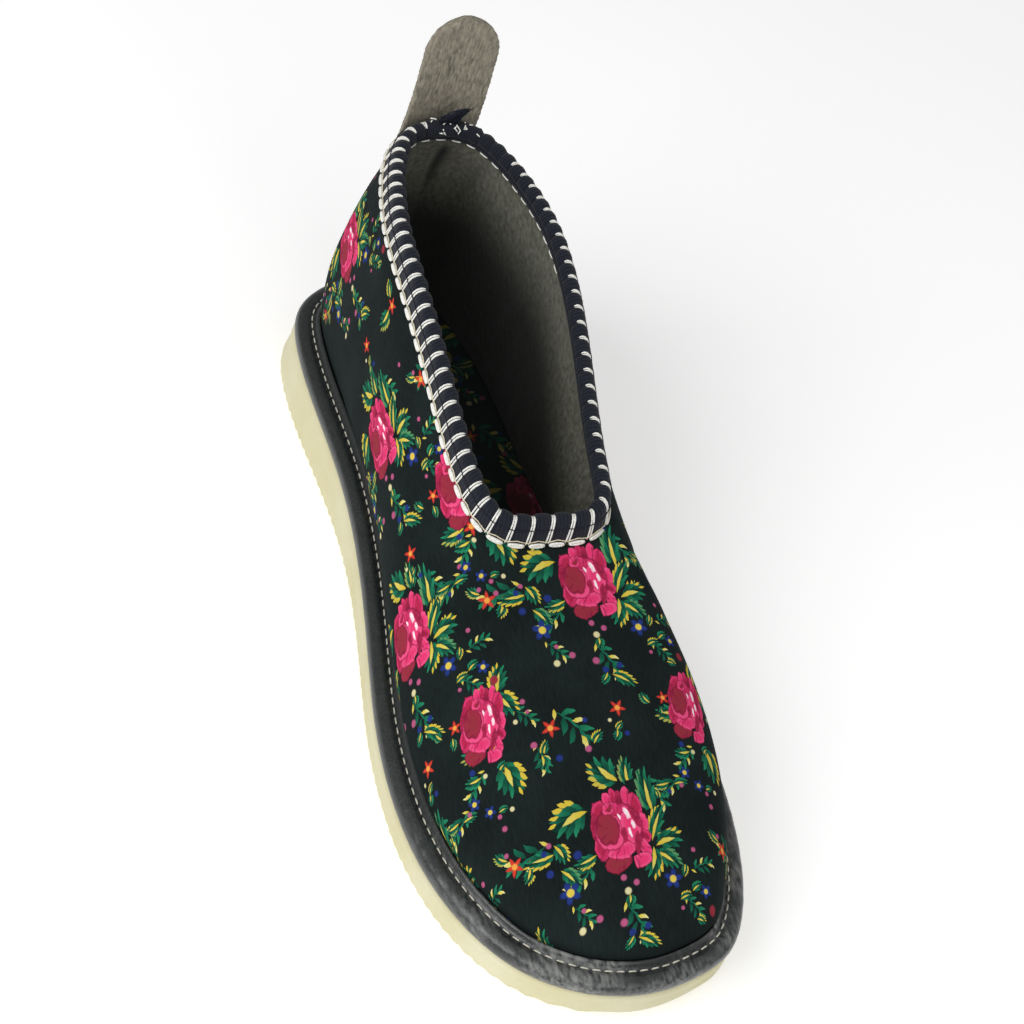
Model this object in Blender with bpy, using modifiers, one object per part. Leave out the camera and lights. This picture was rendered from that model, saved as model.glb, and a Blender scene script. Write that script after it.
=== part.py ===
"""Heeled slipper, right shoe: sole, rand, insole, upper, collar binding and finger tab.

Sizes are millimetres in the shoe's own measure: along runs from the back of the
rand (0) to its toe (260), across is plus to the medial side and minus to the
lateral one, up is counted from the floor. The objects are written in metres with
the toe to -Y, the medial side to +X and the middle of the box over the origin.
"""
import bpy
import numpy as np

MM = 0.001
LINES = 84          # lines round the shoe, from the heel by the lateral side to the toe and back
GAP = 0.3           # air between neighbours
WALL = 2.0          # cotton and felt together
RAND_REACH = 8.0    # from the rand's outer edge in to the upper
SKIRT = 8.0         # upright foot of the upper, behind the rand
RISE_ROWS = 9       # rows of the upper between skirt and chain line
HEEL_FLARE = 2.5    # how far the heel's foot stands out past the rand
FLARE_END = 110.0   # along, where that flare has run out
TAB_WIDTH = 22.5
TAB_THICK = 3.0
TAB_ASIDE = 2.0     # across, where the tab's middle stands
TAB_STEP = 4.4      # height of a row of the tab
TAB_COLUMNS = 9
FINE_STEPS = 4000   # steps with which the plan's length is measured
REACH = 0.6         # to either side, for the direction of the plan's edge

# Plan of the rand's outer edge: along, lateral, medial
OUTLINE = np.array([
    (0.0, 0.0, 0.0), (9.0, 24.0, 22.5), (26.0, 31.0, 30.0), (52.0, 32.5, 34.0), (88.0, 33.0, 35.0),
    (129.0, 39.0, 39.0), (160.0, 45.5, 44.5), (186.0, 48.5, 48.5), (211.0, 47.2, 46.6),
    (232.0, 40.8, 40.6), (246.0, 31.6, 33.4), (254.0, 21.3, 26.0), (258.0, 12.0, 16.8), (260.2, -1.5, 1.5)])

# Side view of the sole: along, top, bottom
SOLE = np.array([
    (0.0, 19.0, 0.0), (40.0, 18.5, 0.0), (75.0, 17.3, 0.0), (110.0, 14.8, 0.8), (145.0, 11.8, 0.4),
    (165.0, 10.4, 0.0), (195.0, 10.0, 0.0), (215.0, 10.7, 0.8), (235.0, 12.2, 2.4), (260.2, 14.9, 5.1)])
TOP, BOTTOM = 1, 2

# Upper, a row per line rising from the skirt: share of the way round the outline, how far it
# leans out and rises as it leaves the skirt, the point of the chain line it comes to (across,
# along, up), the pull with which it gets there (across, along, up), crest inward and upward
UPPER = np.array([
    (0.000, 5.0, 24.0, 0.0, 17.5, 98.0, 0.0, 11.0, 24.0, 3.0, 7.0),
    (0.045, 3.5, 16.0, -13.0, 22.5, 97.0, 5.0, 8.5, 25.0, 2.5, 7.0),
    (0.095, 4.5, 11.0, -21.5, 43.5, 95.0, 5.5, 1.5, 30.0, 1.5, 7.0),
    (0.165, 7.5, 6.0, -24.5, 70.0, 92.0, 6.5, 0.0, 37.0, 1.0, 7.0),
    (0.235, 8.5, 5.0, -23.0, 95.0, 82.5, 9.5, -5.0, 32.0, 1.0, 7.0),
    (0.310, 8.0, 6.0, -20.8, 121.5, 69.0, 11.0, -12.0, 24.0, 1.2, 7.0),
    (0.385, 6.5, 8.0, -15.5, 137.6, 61.3, 10.0, -24.0, 17.0, 1.6, 7.0),
    (0.500, -1.0, 16.0, 3.5, 142.2, 58.2, 0.0, -50.0, 14.0, 2.0, 7.0),
    (0.570, 1.5, 20.0, 14.5, 142.2, 58.6, -4.5, -42.0, 12.5, 1.8, 7.0),
    (0.635, 3.5, 24.0, 21.5, 136.0, 61.6, -7.5, -30.0, 12.0, 1.4, 7.0),
    (0.690, 3.0, 22.5, 22.6, 122.5, 67.5, -6.5, -16.0, 14.0, 1.2, 7.0),
    (0.765, 3.0, 24.0, 24.2, 95.0, 82.0, -6.5, -4.0, 18.0, 1.0, 7.0),
    (0.835, 3.0, 24.0, 25.4, 69.5, 91.5, -4.0, 0.0, 24.0, 1.0, 7.0),
    (0.905, 4.0, 26.0, 22.8, 42.5, 95.0, -5.0, 1.5, 24.0, 1.5, 7.0),
    (0.955, 5.0, 26.0, 14.2, 22.5, 97.0, -4.5, 8.0, 24.0, 2.5, 7.0)])

# Finger tab from its foot to its round end: up, along of its front face, radius it is curled to
TAB = np.array([
    (75.0, 8.5, 26.0), (80.0, 9.9, 26.0), (85.0, 11.3, 25.0), (90.0, 12.9, 23.0), (96.0, 14.8, 21.0),
    (102.0, 16.1, 22.0), (108.0, 17.4, 27.0), (116.0, 18.6, 36.0), (128.0, 19.4, 60.0),
    (141.5, 19.3, 90.0)])
TAB_END_TURNS = (18, 36, 52, 66, 78)

# Edge of the sole, a row per corner: out from the rand's edge, share of the thickness
OUTSOLE_SIDE = [(-2.2, 0.0), (-0.8, 0.06), (-0.1, 0.18), (-0.3, 0.60), (-0.5, 0.93), (-1.1, 1.0)]

# Rand and insole, a row per corner: in from the rand's edge, above the sole
RAND_SECTION = [
    (0.9, 0.3), (0.1, 1.4), (0.0, 3.2), (0.6, 4.8), (2.0, 5.7),
    (4.9, 5.8), (6.0, 6.3), (6.5, 7.7), (7.7, 7.7), (7.7, 0.3)]
INSOLE_SIDE = [(22.0, 0.3), (10.3, 0.3), (10.3, 6.9), (11.4, 7.9), (22.0, 8.2)]

# Binding tape folded over the collar edge, a row per corner: off the upper's face, past its edge
TAPE_SECTION = [
    (0.3, -6.7), (1.0, -6.7), (1.5, -6.0), (1.6, -2.5), (1.3, -0.2), (0.4, 1.2), (-1.0, 1.6),
    (-2.4, 1.2), (-3.2, -0.2), (-3.4, -2.4), (-3.2, -4.4), (-2.3, -4.4), (-2.3, 0.4), (0.3, 0.4)]


def unit(v):
    return v / np.linalg.norm(v, axis=-1, keepdims=True)


def ring_spline(at, rows, period, read):
    """Closed smooth curve through the rows standing at the values at, read at the values read."""
    count = len(at)
    step = np.diff(np.append(at, at[0] + period))
    matrix = np.zeros((count, count))
    right = np.zeros(rows.shape)
    for i in range(count):
        before, after = step[i - 1], step[i]
        following = (i + 1) % count
        matrix[i, i - 1] += before
        matrix[i, i] += 2 * (before + after)
        matrix[i, following] += after
        right[i] = 6 * ((rows[following] - rows[i]) / after - (rows[i] - rows[i - 1]) / before)
    bend = np.linalg.solve(matrix, right)
    read = np.mod(np.asarray(read, float) - at[0], period) + at[0]
    k = np.clip(np.searchsorted(at, read, side="right") - 1, 0, count - 1)
    k1 = (k + 1) % count
    s = (read - at[k])[:, None]
    h = step[k][:, None]
    r = h - s
    return ((bend[k] * r ** 3 + bend[k1] * s ** 3) / (6 * h)
            + (rows[k] / h - bend[k] * h / 6) * r + (rows[k1] / h - bend[k1] * h / 6) * s)


def smooth_run(table, column, read):
    """A column of a table as a smooth run over its first column, level past both ends."""
    at, value = table[:, 0], table[:, column]
    slope = np.gradient(value, at)
    a = np.clip(read, at[0], at[-1])
    k = np.clip(np.searchsorted(at, a, side="right") - 1, 0, len(at) - 2)
    h = at[k + 1] - at[k]
    s = (a - at[k]) / h
    return (value[k] * (1 + 2 * s) * (1 - s) ** 2 + slope[k] * h * s * (1 - s) ** 2
            + value[k + 1] * s * s * (3 - 2 * s) + slope[k + 1] * h * s * s * (s - 1))


def sole_level(along, column):
    """Height of the sole's top or bottom, never under the floor."""
    return np.maximum(smooth_run(SOLE, column, along), 0.0)


def outline_ring():
    """Points (across, along) at even steps round the plan, and the outward normal at each."""
    lateral = np.c_[-OUTLINE[:, 1], OUTLINE[:, 0]]
    medial = np.c_[OUTLINE[:, 2], OUTLINE[:, 0]]
    rows = np.vstack([lateral, medial[-2:0:-1]])
    hops = np.linalg.norm(np.diff(rows, axis=0, append=rows[:1]), axis=1)
    at = np.append(0.0, np.cumsum(np.sqrt(hops)))
    curve = ring_spline(at[:-1], rows, at[-1], np.linspace(0, at[-1], FINE_STEPS + 1)[:-1])
    curve = np.vstack([curve, curve[:1]])
    walked = np.append(0.0, np.cumsum(np.linalg.norm(np.diff(curve, axis=0), axis=1)))
    total = walked[-1]
    even = np.arange(LINES) / LINES * total

    def point(way):
        return np.stack([np.interp(way % total, walked, curve[:, i]) for i in (0, 1)], 1)

    tangent = point(even + REACH) - point(even - REACH)
    outward = unit(np.stack([-tangent[:, 1], tangent[:, 0]], 1))
    points = point(even)
    if np.sum((points - points.mean(0)) * outward) < 0:
        outward = -outward
    return points, outward


EDGE, OUTWARD = outline_ring()


def flare():
    """How far the foot of the sole stands out at each line."""
    return HEEL_FLARE * np.clip(1 - EDGE[:, 1] / FLARE_END, 0, 1)


def inset_ring(inset, above):
    """Ring a set way in from the outline and a set way above the sole."""
    plan = EDGE - OUTWARD * inset
    return np.c_[plan, sole_level(plan[:, 1], TOP) + above]


def outsole_ring(out, share):
    """Ring on the sole's side, at a share of its thickness."""
    plan = EDGE + OUTWARD * (out + flare() * (1 - share))[:, None]
    low, high = sole_level(plan[:, 1], BOTTOM), sole_level(plan[:, 1], TOP)
    return np.c_[plan, low + (high - low) * share]


def upper_rows():
    """Outer face of the upper in rows from the foot of the skirt to the crest.

    Each line leaves the skirt upright, bends over as a four-point curve to the chain
    line and then runs straight up to the crest.
    """
    row = ring_spline(UPPER[:, 0], UPPER[:, 1:], 1.0, np.arange(LINES) / LINES)
    foot = inset_ring(RAND_REACH, GAP)
    start = inset_ring(RAND_REACH, SKIRT)
    first = start + np.c_[OUTWARD * row[:, :1], row[:, 1]]
    chain = row[:, 2:5]
    second = chain - row[:, 5:8]
    tangent = np.roll(chain, -1, 0) - np.roll(chain, 1, 0)
    inward = unit(np.stack([-tangent[:, 1], tangent[:, 0]], 1))
    if np.sum((chain - chain.mean(0))[:, :2] * inward) > 0:
        inward = -inward
    crest = chain + np.c_[inward * row[:, 8:9], row[:, 9]]
    t = np.linspace(0, 1, RISE_ROWS)[:, None, None]
    low = (1 - t) ** 3 * start + 3 * (1 - t) ** 2 * t * first
    rise = low + 3 * (1 - t) * t ** 2 * second + t ** 3 * chain
    return np.vstack([foot[None], rise, crest[None]])


def tape_ring(rows, off, past):
    """Ring along the collar edge: a set way off the upper's face and past its crest."""
    crest, chain = rows[-1], rows[-2]
    up = unit(crest - chain)
    face = unit(np.cross(np.roll(crest, -1, 0) - np.roll(crest, 1, 0), up))
    if np.sum(face * (crest - crest.mean(0))) < 0:
        face = -face
    return crest + face * off + up * past


def band(count, n, closed):
    """Faces between rings of n points, and from the last ring back to the first where closed."""
    faces = []
    for i in range(count if closed else count - 1):
        a, b = i * n, ((i + 1) % count) * n
        faces += [(a + j, a + (j + 1) % n, b + (j + 1) % n, b + j) for j in range(n)]
    return faces


def lid(first, n):
    """Strips across a ring from its lateral half to its medial half."""
    faces = [(first, first + 1, first + n - 1)]
    faces += [(first + i, first + i + 1, first + n - i - 1, first + n - i) for i in range(1, n // 2 - 1)]
    faces.append((first + n // 2 - 1, first + n // 2, first + n // 2 + 1))
    return faces


def place_object(name, points, faces, colour, rough):
    """Object in metres with its own material."""
    middle = np.vstack([EDGE, outsole_ring(*OUTSOLE_SIDE[2])[:, :2]])
    middle = (middle.max(0) + middle.min(0)) / 2
    at = np.c_[points[:, 0] - middle[0], middle[1] - points[:, 1], points[:, 2]] * MM
    mesh = bpy.data.meshes.new(name)
    mesh.from_pydata(at.tolist(), [], faces)
    mesh.update()
    shade = bpy.data.materials.new(name + "_material")
    shade.use_nodes = True
    node = shade.node_tree.nodes["Principled BSDF"]
    node.inputs["Base Color"].default_value = (*colour, 1.0)
    node.inputs["Roughness"].default_value = rough
    mesh.materials.append(shade)
    mesh.shade_smooth()
    piece = bpy.data.objects.new(name, mesh)
    SHOE.objects.link(piece)
    return piece


def thicken(piece, thick):
    """Give an open surface its wall, behind its face."""
    wall = piece.modifiers.new("Wall", "SOLIDIFY")
    wall.thickness = thick * MM
    wall.offset = -1.0
    wall.use_even_offset = True
    wall.use_quality_normals = True


def build_outsole():
    rings = [outsole_ring(out, share) for out, share in OUTSOLE_SIDE]
    rings.append(inset_ring(RAND_REACH + WALL, 0.0))
    top = (len(rings) - 1) * LINES
    faces = band(len(rings), LINES, False) + lid(top, LINES) + [f[::-1] for f in lid(0, LINES)]
    place_object("outsole", np.vstack(rings), faces, (0.80, 0.75, 0.48), 0.8)


def build_rand():
    rings = [inset_ring(inset, above) for inset, above in RAND_SECTION]
    faces = band(len(rings), LINES, True)
    place_object("rand", np.vstack(rings), faces, (0.015, 0.015, 0.016), 0.45)


def build_insole():
    rings = [inset_ring(inset, above) for inset, above in INSOLE_SIDE]
    top = (len(rings) - 1) * LINES
    faces = band(len(rings), LINES, False) + lid(top, LINES) + [f[::-1] for f in lid(0, LINES)]
    place_object("insole", np.vstack(rings), faces, (0.02, 0.025, 0.025), 0.9)


def build_upper():
    """Open at the collar and underneath; the wall grows inward from the outer face."""
    rows = upper_rows()
    faces = band(len(rows), LINES, False)
    piece = place_object("upper", np.vstack(rows), faces, (0.012, 0.017, 0.016), 0.85)
    thicken(piece, WALL)


def build_binding():
    rows = upper_rows()
    rings = [tape_ring(rows, off, past) for off, past in TAPE_SECTION]
    faces = band(len(rings), LINES, True)
    place_object("collar_binding", np.vstack(rings), faces, (0.010, 0.013, 0.035), 0.8)


def build_tab():
    """Felt strip up the outside of the back, free above the collar, with a round end."""
    half = TAB_WIDTH / 2
    turn = np.radians(TAB_END_TURNS)
    shoulder = TAB[-1, 0] - half
    straight = np.append(np.arange(TAB[0, 0], shoulder, TAB_STEP), shoulder)
    up = np.append(straight, shoulder + half * np.sin(turn))
    width = np.append(np.full(len(straight), half), half * np.cos(turn))
    across = TAB_ASIDE + width[:, None] * np.linspace(-1, 1, TAB_COLUMNS)
    along = smooth_run(TAB, 1, up)[:, None] + across ** 2 / (2 * smooth_run(TAB, 2, up)[:, None])
    points = np.stack([across, along, np.repeat(up[:, None], TAB_COLUMNS, 1)], 2)
    n = TAB_COLUMNS
    corners = [i * n + j for i in range(len(up) - 1) for j in range(n - 1)]
    faces = [(a, a + 1, a + n + 1, a + n) for a in corners]
    piece = place_object("pull_tab", points.reshape(-1, 3), faces, (0.17, 0.16, 0.13), 0.95)
    thicken(piece, TAB_THICK)


for old in list(bpy.data.objects):
    bpy.data.objects.remove(old, do_unlink=True)
SHOE = bpy.data.collections.new("heeled_slipper")
bpy.context.scene.collection.children.link(SHOE)

build_outsole()
build_rand()
build_insole()
build_upper()
build_binding()
build_tab()
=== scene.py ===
"""Heeled slipper, right shoe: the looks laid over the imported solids.

Measures are millimetres in the shoe's own frame, as in the part's source: along runs from the
back of the rand (0) to its toe (260), across is plus to the medial side and minus to the
lateral one, up is counted from the floor.
"""

import bpy
import numpy as np
from mathutils import Matrix, Vector


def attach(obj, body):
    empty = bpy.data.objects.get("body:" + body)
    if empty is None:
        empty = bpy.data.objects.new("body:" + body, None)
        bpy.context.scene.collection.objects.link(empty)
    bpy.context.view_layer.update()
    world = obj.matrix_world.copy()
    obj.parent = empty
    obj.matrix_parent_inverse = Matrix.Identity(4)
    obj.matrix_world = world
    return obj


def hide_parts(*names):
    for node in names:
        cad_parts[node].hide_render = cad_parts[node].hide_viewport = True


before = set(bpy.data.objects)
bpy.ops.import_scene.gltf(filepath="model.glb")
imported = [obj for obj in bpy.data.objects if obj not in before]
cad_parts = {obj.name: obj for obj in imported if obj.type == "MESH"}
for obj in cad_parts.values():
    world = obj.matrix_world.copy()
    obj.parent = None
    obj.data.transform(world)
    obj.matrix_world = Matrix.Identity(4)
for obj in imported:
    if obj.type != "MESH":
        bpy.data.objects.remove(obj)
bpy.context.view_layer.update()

MM = 0.001
LINES = 720  # lines round the shoe, from the heel by the lateral side to the toe and back
HALF = LINES // 2
GAP = 0.3  # between the sole and the foot of the upper
WALL = 2.0  # thickness of the upper
COTTON = 0.7  # of the wall, the rest is felt
RAND_REACH = 8.0  # from the rand's edge in to the upper
SKIRT = 8.0  # height over the sole up to which the upper stands straight
CREST_RISE = 7.0  # of the collar's crest over the chain line
HEEL_FLARE = 2.5  # how far the sole's foot flares out at the heel
FLARE_END = 110.0  # along, where that has died away
FINE_STEPS = 4000  # of the plan's curve, before it is cut into even steps
REACH = 0.6  # to both sides of a point of the plan, for its tangent
TOP, BOTTOM = 1, 2  # columns of the sole's table

# Plan of the rand's outer edge: along, lateral, medial
OUTLINE = np.array([
    (0.0, 0.0, 0.0), (9.0, 24.0, 22.5), (26.0, 31.0, 30.0), (52.0, 32.5, 34.0), (88.0, 33.0, 35.0),
    (129.0, 39.0, 39.0), (160.0, 45.5, 44.5), (186.0, 48.5, 48.5), (211.0, 47.2, 46.6),
    (232.0, 40.8, 40.6), (246.0, 31.6, 33.4), (254.0, 21.3, 26.0), (258.0, 12.0, 16.8), (260.2, -1.5, 1.5)])

# Side view of the sole: along, top, bottom
SOLE = np.array([
    (0.0, 19.0, 0.0), (40.0, 18.5, 0.0), (75.0, 17.3, 0.0), (110.0, 14.8, 0.8), (145.0, 11.8, 0.4),
    (165.0, 10.4, 0.0), (195.0, 10.0, 0.0), (215.0, 10.7, 0.8), (235.0, 12.2, 2.4), (260.2, 14.9, 5.1)])

# Upper, a row per line rising from the skirt: share of the way round the outline, how far it
# leans out and rises as it leaves the skirt, the point of the chain line it comes to (across,
# along, up), the pull with which it gets there (across, along, up), how far in the crest stands
UPPER = np.array([
    (0.000, 5.0, 24.0, 0.0, 17.5, 98.0, 0.0, 11.0, 24.0, 3.0),
    (0.045, 3.5, 16.0, -13.0, 22.5, 97.0, 5.0, 8.5, 25.0, 2.5),
    (0.095, 4.5, 11.0, -21.5, 43.5, 95.0, 5.5, 1.5, 30.0, 1.5),
    (0.165, 7.5, 6.0, -24.5, 70.0, 92.0, 6.5, 0.0, 37.0, 1.0),
    (0.235, 8.5, 5.0, -23.0, 95.0, 82.5, 9.5, -5.0, 32.0, 1.0),
    (0.310, 8.0, 6.0, -20.8, 121.5, 69.0, 11.0, -12.0, 24.0, 1.2),
    (0.385, 6.5, 8.0, -15.5, 137.6, 61.3, 10.0, -24.0, 17.0, 1.6),
    (0.500, -1.0, 16.0, 3.5, 142.2, 58.2, 0.0, -50.0, 14.0, 2.0),
    (0.570, 1.5, 20.0, 14.5, 142.2, 58.6, -4.5, -42.0, 12.5, 1.8),
    (0.635, 3.5, 24.0, 21.5, 136.0, 61.6, -7.5, -30.0, 12.0, 1.4),
    (0.690, 3.0, 22.5, 22.6, 122.5, 67.5, -6.5, -16.0, 14.0, 1.2),
    (0.765, 3.0, 24.0, 24.2, 95.0, 82.0, -6.5, -4.0, 18.0, 1.0),
    (0.835, 3.0, 24.0, 25.4, 69.5, 91.5, -4.0, 0.0, 24.0, 1.0),
    (0.905, 4.0, 26.0, 22.8, 42.5, 95.0, -5.0, 1.5, 24.0, 1.5),
    (0.955, 5.0, 26.0, 14.2, 22.5, 97.0, -4.5, 8.0, 24.0, 2.5)])

# Finger tab from its foot to its round end: up, along of its front face, radius it is curled to
TAB = np.array([
    (75.0, 8.5, 26.0), (80.0, 9.9, 26.0), (85.0, 11.3, 25.0), (90.0, 12.9, 23.0), (96.0, 14.8, 21.0),
    (102.0, 16.1, 22.0), (108.0, 17.4, 27.0), (116.0, 18.6, 36.0), (128.0, 19.4, 60.0),
    (141.5, 19.3, 90.0)])
TAB_WIDTH = 22.5
TAB_THICK = 3.0
TAB_ASIDE = 2.0  # its middle, to the medial side

# Edge of the sole: out from the rand's edge, share of the thickness
OUTSOLE_SIDE = [(-2.2, 0.0), (-0.8, 0.06), (-0.1, 0.18), (-0.3, 0.60), (-0.5, 0.93), (-1.1, 1.0)]

# Rand and insole: in from the rand's edge, above the sole
RAND_SECTION = [
    (0.9, 0.3), (0.1, 1.4), (0.0, 3.2), (0.6, 4.8), (2.0, 5.75), (3.6, 6.05), (4.6, 5.75), (5.15, 5.55),
    (5.8, 5.9), (6.3, 6.5), (6.8, 7.3), (7.8, 7.5), (7.8, 0.3)]
INSOLE_SIDE = [(22.0, 0.3), (10.3, 0.3), (10.3, 6.7), (10.6, 7.4), (11.3, 7.8), (12.4, 7.95)]

# Binding tape folded over the collar edge, a roll with a flat strip inside: off the upper's face,
# past its edge
TAPE_SECTION = [
    (0.3, -6.7), (1.0, -6.7), (1.5, -6.0), (1.6, -3.6), (1.55, -1.6), (1.15, 0.2), (0.3, 1.25), (-0.9, 1.6),
    (-2.0, 1.25), (-2.75, 0.3), (-3.0, -0.9), (-2.5, -1.8), (-2.75, -2.3), (-3.0, -3.2), (-2.85, -4.3),
    (-2.2, -4.4), (-2.2, 0.4), (0.3, 0.4)]


def unit(v):
    """Vectors brought to length 1."""
    return v / np.linalg.norm(v, axis=-1, keepdims=True)


def outwards(way, points):
    """Directions at points, all turned about if on the whole they look towards the points' middle."""
    middle = points.reshape(-1, points.shape[-1]).mean(0)
    return way if np.sum((points - middle) * way) > 0 else -way


def ease(v, low, high):
    """0 below low, 1 above high, a smooth step between."""
    s = np.clip((v - low) / (high - low), 0, 1)
    return s * s * (3 - 2 * s)


def ring_spline(at, rows, period, read):
    """Closed cubic curve through the rows standing at the values at, read at the values read."""
    count = len(at)
    step = np.diff(np.append(at, at[0] + period))
    matrix = np.zeros((count, count))
    right = np.zeros(rows.shape)
    for i in range(count):
        before, after = step[i - 1], step[i]
        following = (i + 1) % count
        matrix[i, i - 1] += before
        matrix[i, i] += 2 * (before + after)
        matrix[i, following] += after
        right[i] = 6 * ((rows[following] - rows[i]) / after - (rows[i] - rows[i - 1]) / before)
    bend = np.linalg.solve(matrix, right)
    read = np.mod(np.asarray(read, float) - at[0], period) + at[0]
    k = np.clip(np.searchsorted(at, read, side="right") - 1, 0, count - 1)
    k1 = (k + 1) % count
    s = (read - at[k])[:, None]
    h = step[k][:, None]
    r = h - s
    return ((bend[k] * r ** 3 + bend[k1] * s ** 3) / (6 * h)
            + (rows[k] / h - bend[k] * h / 6) * r + (rows[k1] / h - bend[k1] * h / 6) * s)


def smooth_run(table, column, read):
    """A column of a table as a smooth run over its first column, level past both ends."""
    at, value = table[:, 0], table[:, column]
    slope = np.gradient(value, at)
    a = np.clip(read, at[0], at[-1])
    k = np.clip(np.searchsorted(at, a, side="right") - 1, 0, len(at) - 2)
    h = at[k + 1] - at[k]
    s = (a - at[k]) / h
    return (value[k] * (1 + 2 * s) * (1 - s) ** 2 + slope[k] * h * s * (1 - s) ** 2
            + value[k + 1] * s * s * (3 - 2 * s) + slope[k + 1] * h * s * s * (s - 1))


def sole_level(along, column):
    """Height of the sole's top or bottom, never under the floor."""
    return np.maximum(smooth_run(SOLE, column, along), 0.0)


def plan_ring():
    """Points (across, along) at even steps round the rand's edge, and the outward normal at each."""
    lateral = np.c_[-OUTLINE[:, 1], OUTLINE[:, 0]]
    medial = np.c_[OUTLINE[:, 2], OUTLINE[:, 0]]
    rows = np.vstack([lateral, medial[-2:0:-1]])
    hops = np.linalg.norm(np.diff(rows, axis=0, append=rows[:1]), axis=1)
    at = np.append(0.0, np.cumsum(np.sqrt(hops)))
    curve = ring_spline(at[:-1], rows, at[-1], np.linspace(0, at[-1], FINE_STEPS + 1)[:-1])
    curve = np.vstack([curve, curve[:1]])
    walked = np.append(0.0, np.cumsum(np.linalg.norm(np.diff(curve, axis=0), axis=1)))
    total = walked[-1]
    even = np.arange(LINES) / LINES * total

    def point(way):
        return np.stack([np.interp(way % total, walked, curve[:, i]) for i in (0, 1)], 1)

    tangent = point(even + REACH) - point(even - REACH)
    points = point(even)
    return points, outwards(unit(np.stack([-tangent[:, 1], tangent[:, 0]], 1)), points)


EDGE, OUTWARD = plan_ring()


def inset_ring(inset, above):
    """Ring a set way in from the outline and a set way above the sole."""
    plan = EDGE - OUTWARD * np.reshape(inset, (-1, 1))
    return np.c_[plan, sole_level(plan[:, 1], TOP) + above]


def outsole_ring(out, share):
    """Ring on the sole's side, at a share of its thickness; the heel's foot flares out."""
    flare = HEEL_FLARE * np.clip(1 - EDGE[:, 1] / FLARE_END, 0, 1)
    plan = EDGE + OUTWARD * (out + flare * (1 - share))[:, None]
    low, high = sole_level(plan[:, 1], BOTTOM), sole_level(plan[:, 1], TOP)
    return np.c_[plan, low + (high - low) * share]


WIDEST = np.vstack([EDGE, outsole_ring(*OUTSOLE_SIDE[2])[:, :2]])
MIDDLE = (WIDEST.max(0) + WIDEST.min(0)) / 2  # across and along of the point that stands over the origin


def ring_way(ring):
    """Way walked round a closed ring up to each of its points, and its whole length."""
    hops = np.linalg.norm(np.diff(ring, axis=0, append=ring[:1]), axis=1)
    return np.append(0.0, np.cumsum(hops))[:-1], hops.sum()


def read_ring(values, way, total, reads):
    """Values standing at the ways round a ring, read between them."""
    closed = np.concatenate([values, values[:1]])
    reads = np.mod(reads, total)
    return np.stack([np.interp(reads, np.append(way, total), closed[:, i])
                     for i in range(values.shape[1])], -1)


SKIRT_ROWS, RISE_ROWS, CREST_ROWS = 4, 72, 4
BACK_ROWS, LINING_ROWS = 40, 62  # of the hidden faces between cotton and felt, of the felt's own face


def upper_face():
    """Outer face of the upper, a row per ring from the foot of the skirt to the crest.

    Each line leaves the skirt upright, bends over as a four-point curve to the chain
    line and then runs straight up to the crest.
    """
    row = ring_spline(UPPER[:, 0], UPPER[:, 1:], 1.0, np.arange(LINES) / LINES)
    foot = inset_ring(RAND_REACH, GAP)
    start = inset_ring(RAND_REACH, SKIRT)
    first = start + np.c_[OUTWARD * row[:, :1], row[:, 1]]
    chain = row[:, 2:5]
    second = chain - row[:, 5:8]
    tangent = np.roll(chain, -1, 0) - np.roll(chain, 1, 0)
    inward = -outwards(unit(np.stack([-tangent[:, 1], tangent[:, 0]], 1)), chain[:, :2])
    crest = chain + np.c_[inward * row[:, 8:9], np.full(LINES, CREST_RISE)]
    s = np.linspace(0, 1, SKIRT_ROWS, endpoint=False)[:, None, None]
    t = np.linspace(0, 1, RISE_ROWS)[:, None, None]
    c = np.linspace(0, 1, CREST_ROWS + 1)[1:, None, None]
    low = (1 - t) ** 3 * start + 3 * (1 - t) ** 2 * t * first
    rise = low + 3 * (1 - t) * t ** 2 * second + t ** 3 * chain
    return np.vstack([foot + (start - foot) * s, rise, chain + (crest - chain) * c])


def grid_normals(grid):
    """Outward unit normals of a grid whose columns close on themselves."""
    round_ = np.roll(grid, -1, 1) - np.roll(grid, 1, 1)
    return outwards(unit(np.cross(round_, np.gradient(grid, axis=0))), grid)


FACE = upper_face()
FACE_NORMAL = grid_normals(FACE)

TURN = 60.0  # along, behind which the cloth's run goes round the heel
THROAT = 143.0  # along, behind which the cloth has no ridge
NEAR, WIDE = 15.0, 35.0  # from the ridge: where the straight distance gives way to the climb
HAIR = 1e-6  # added from point to point, so that the run always rises


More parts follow.
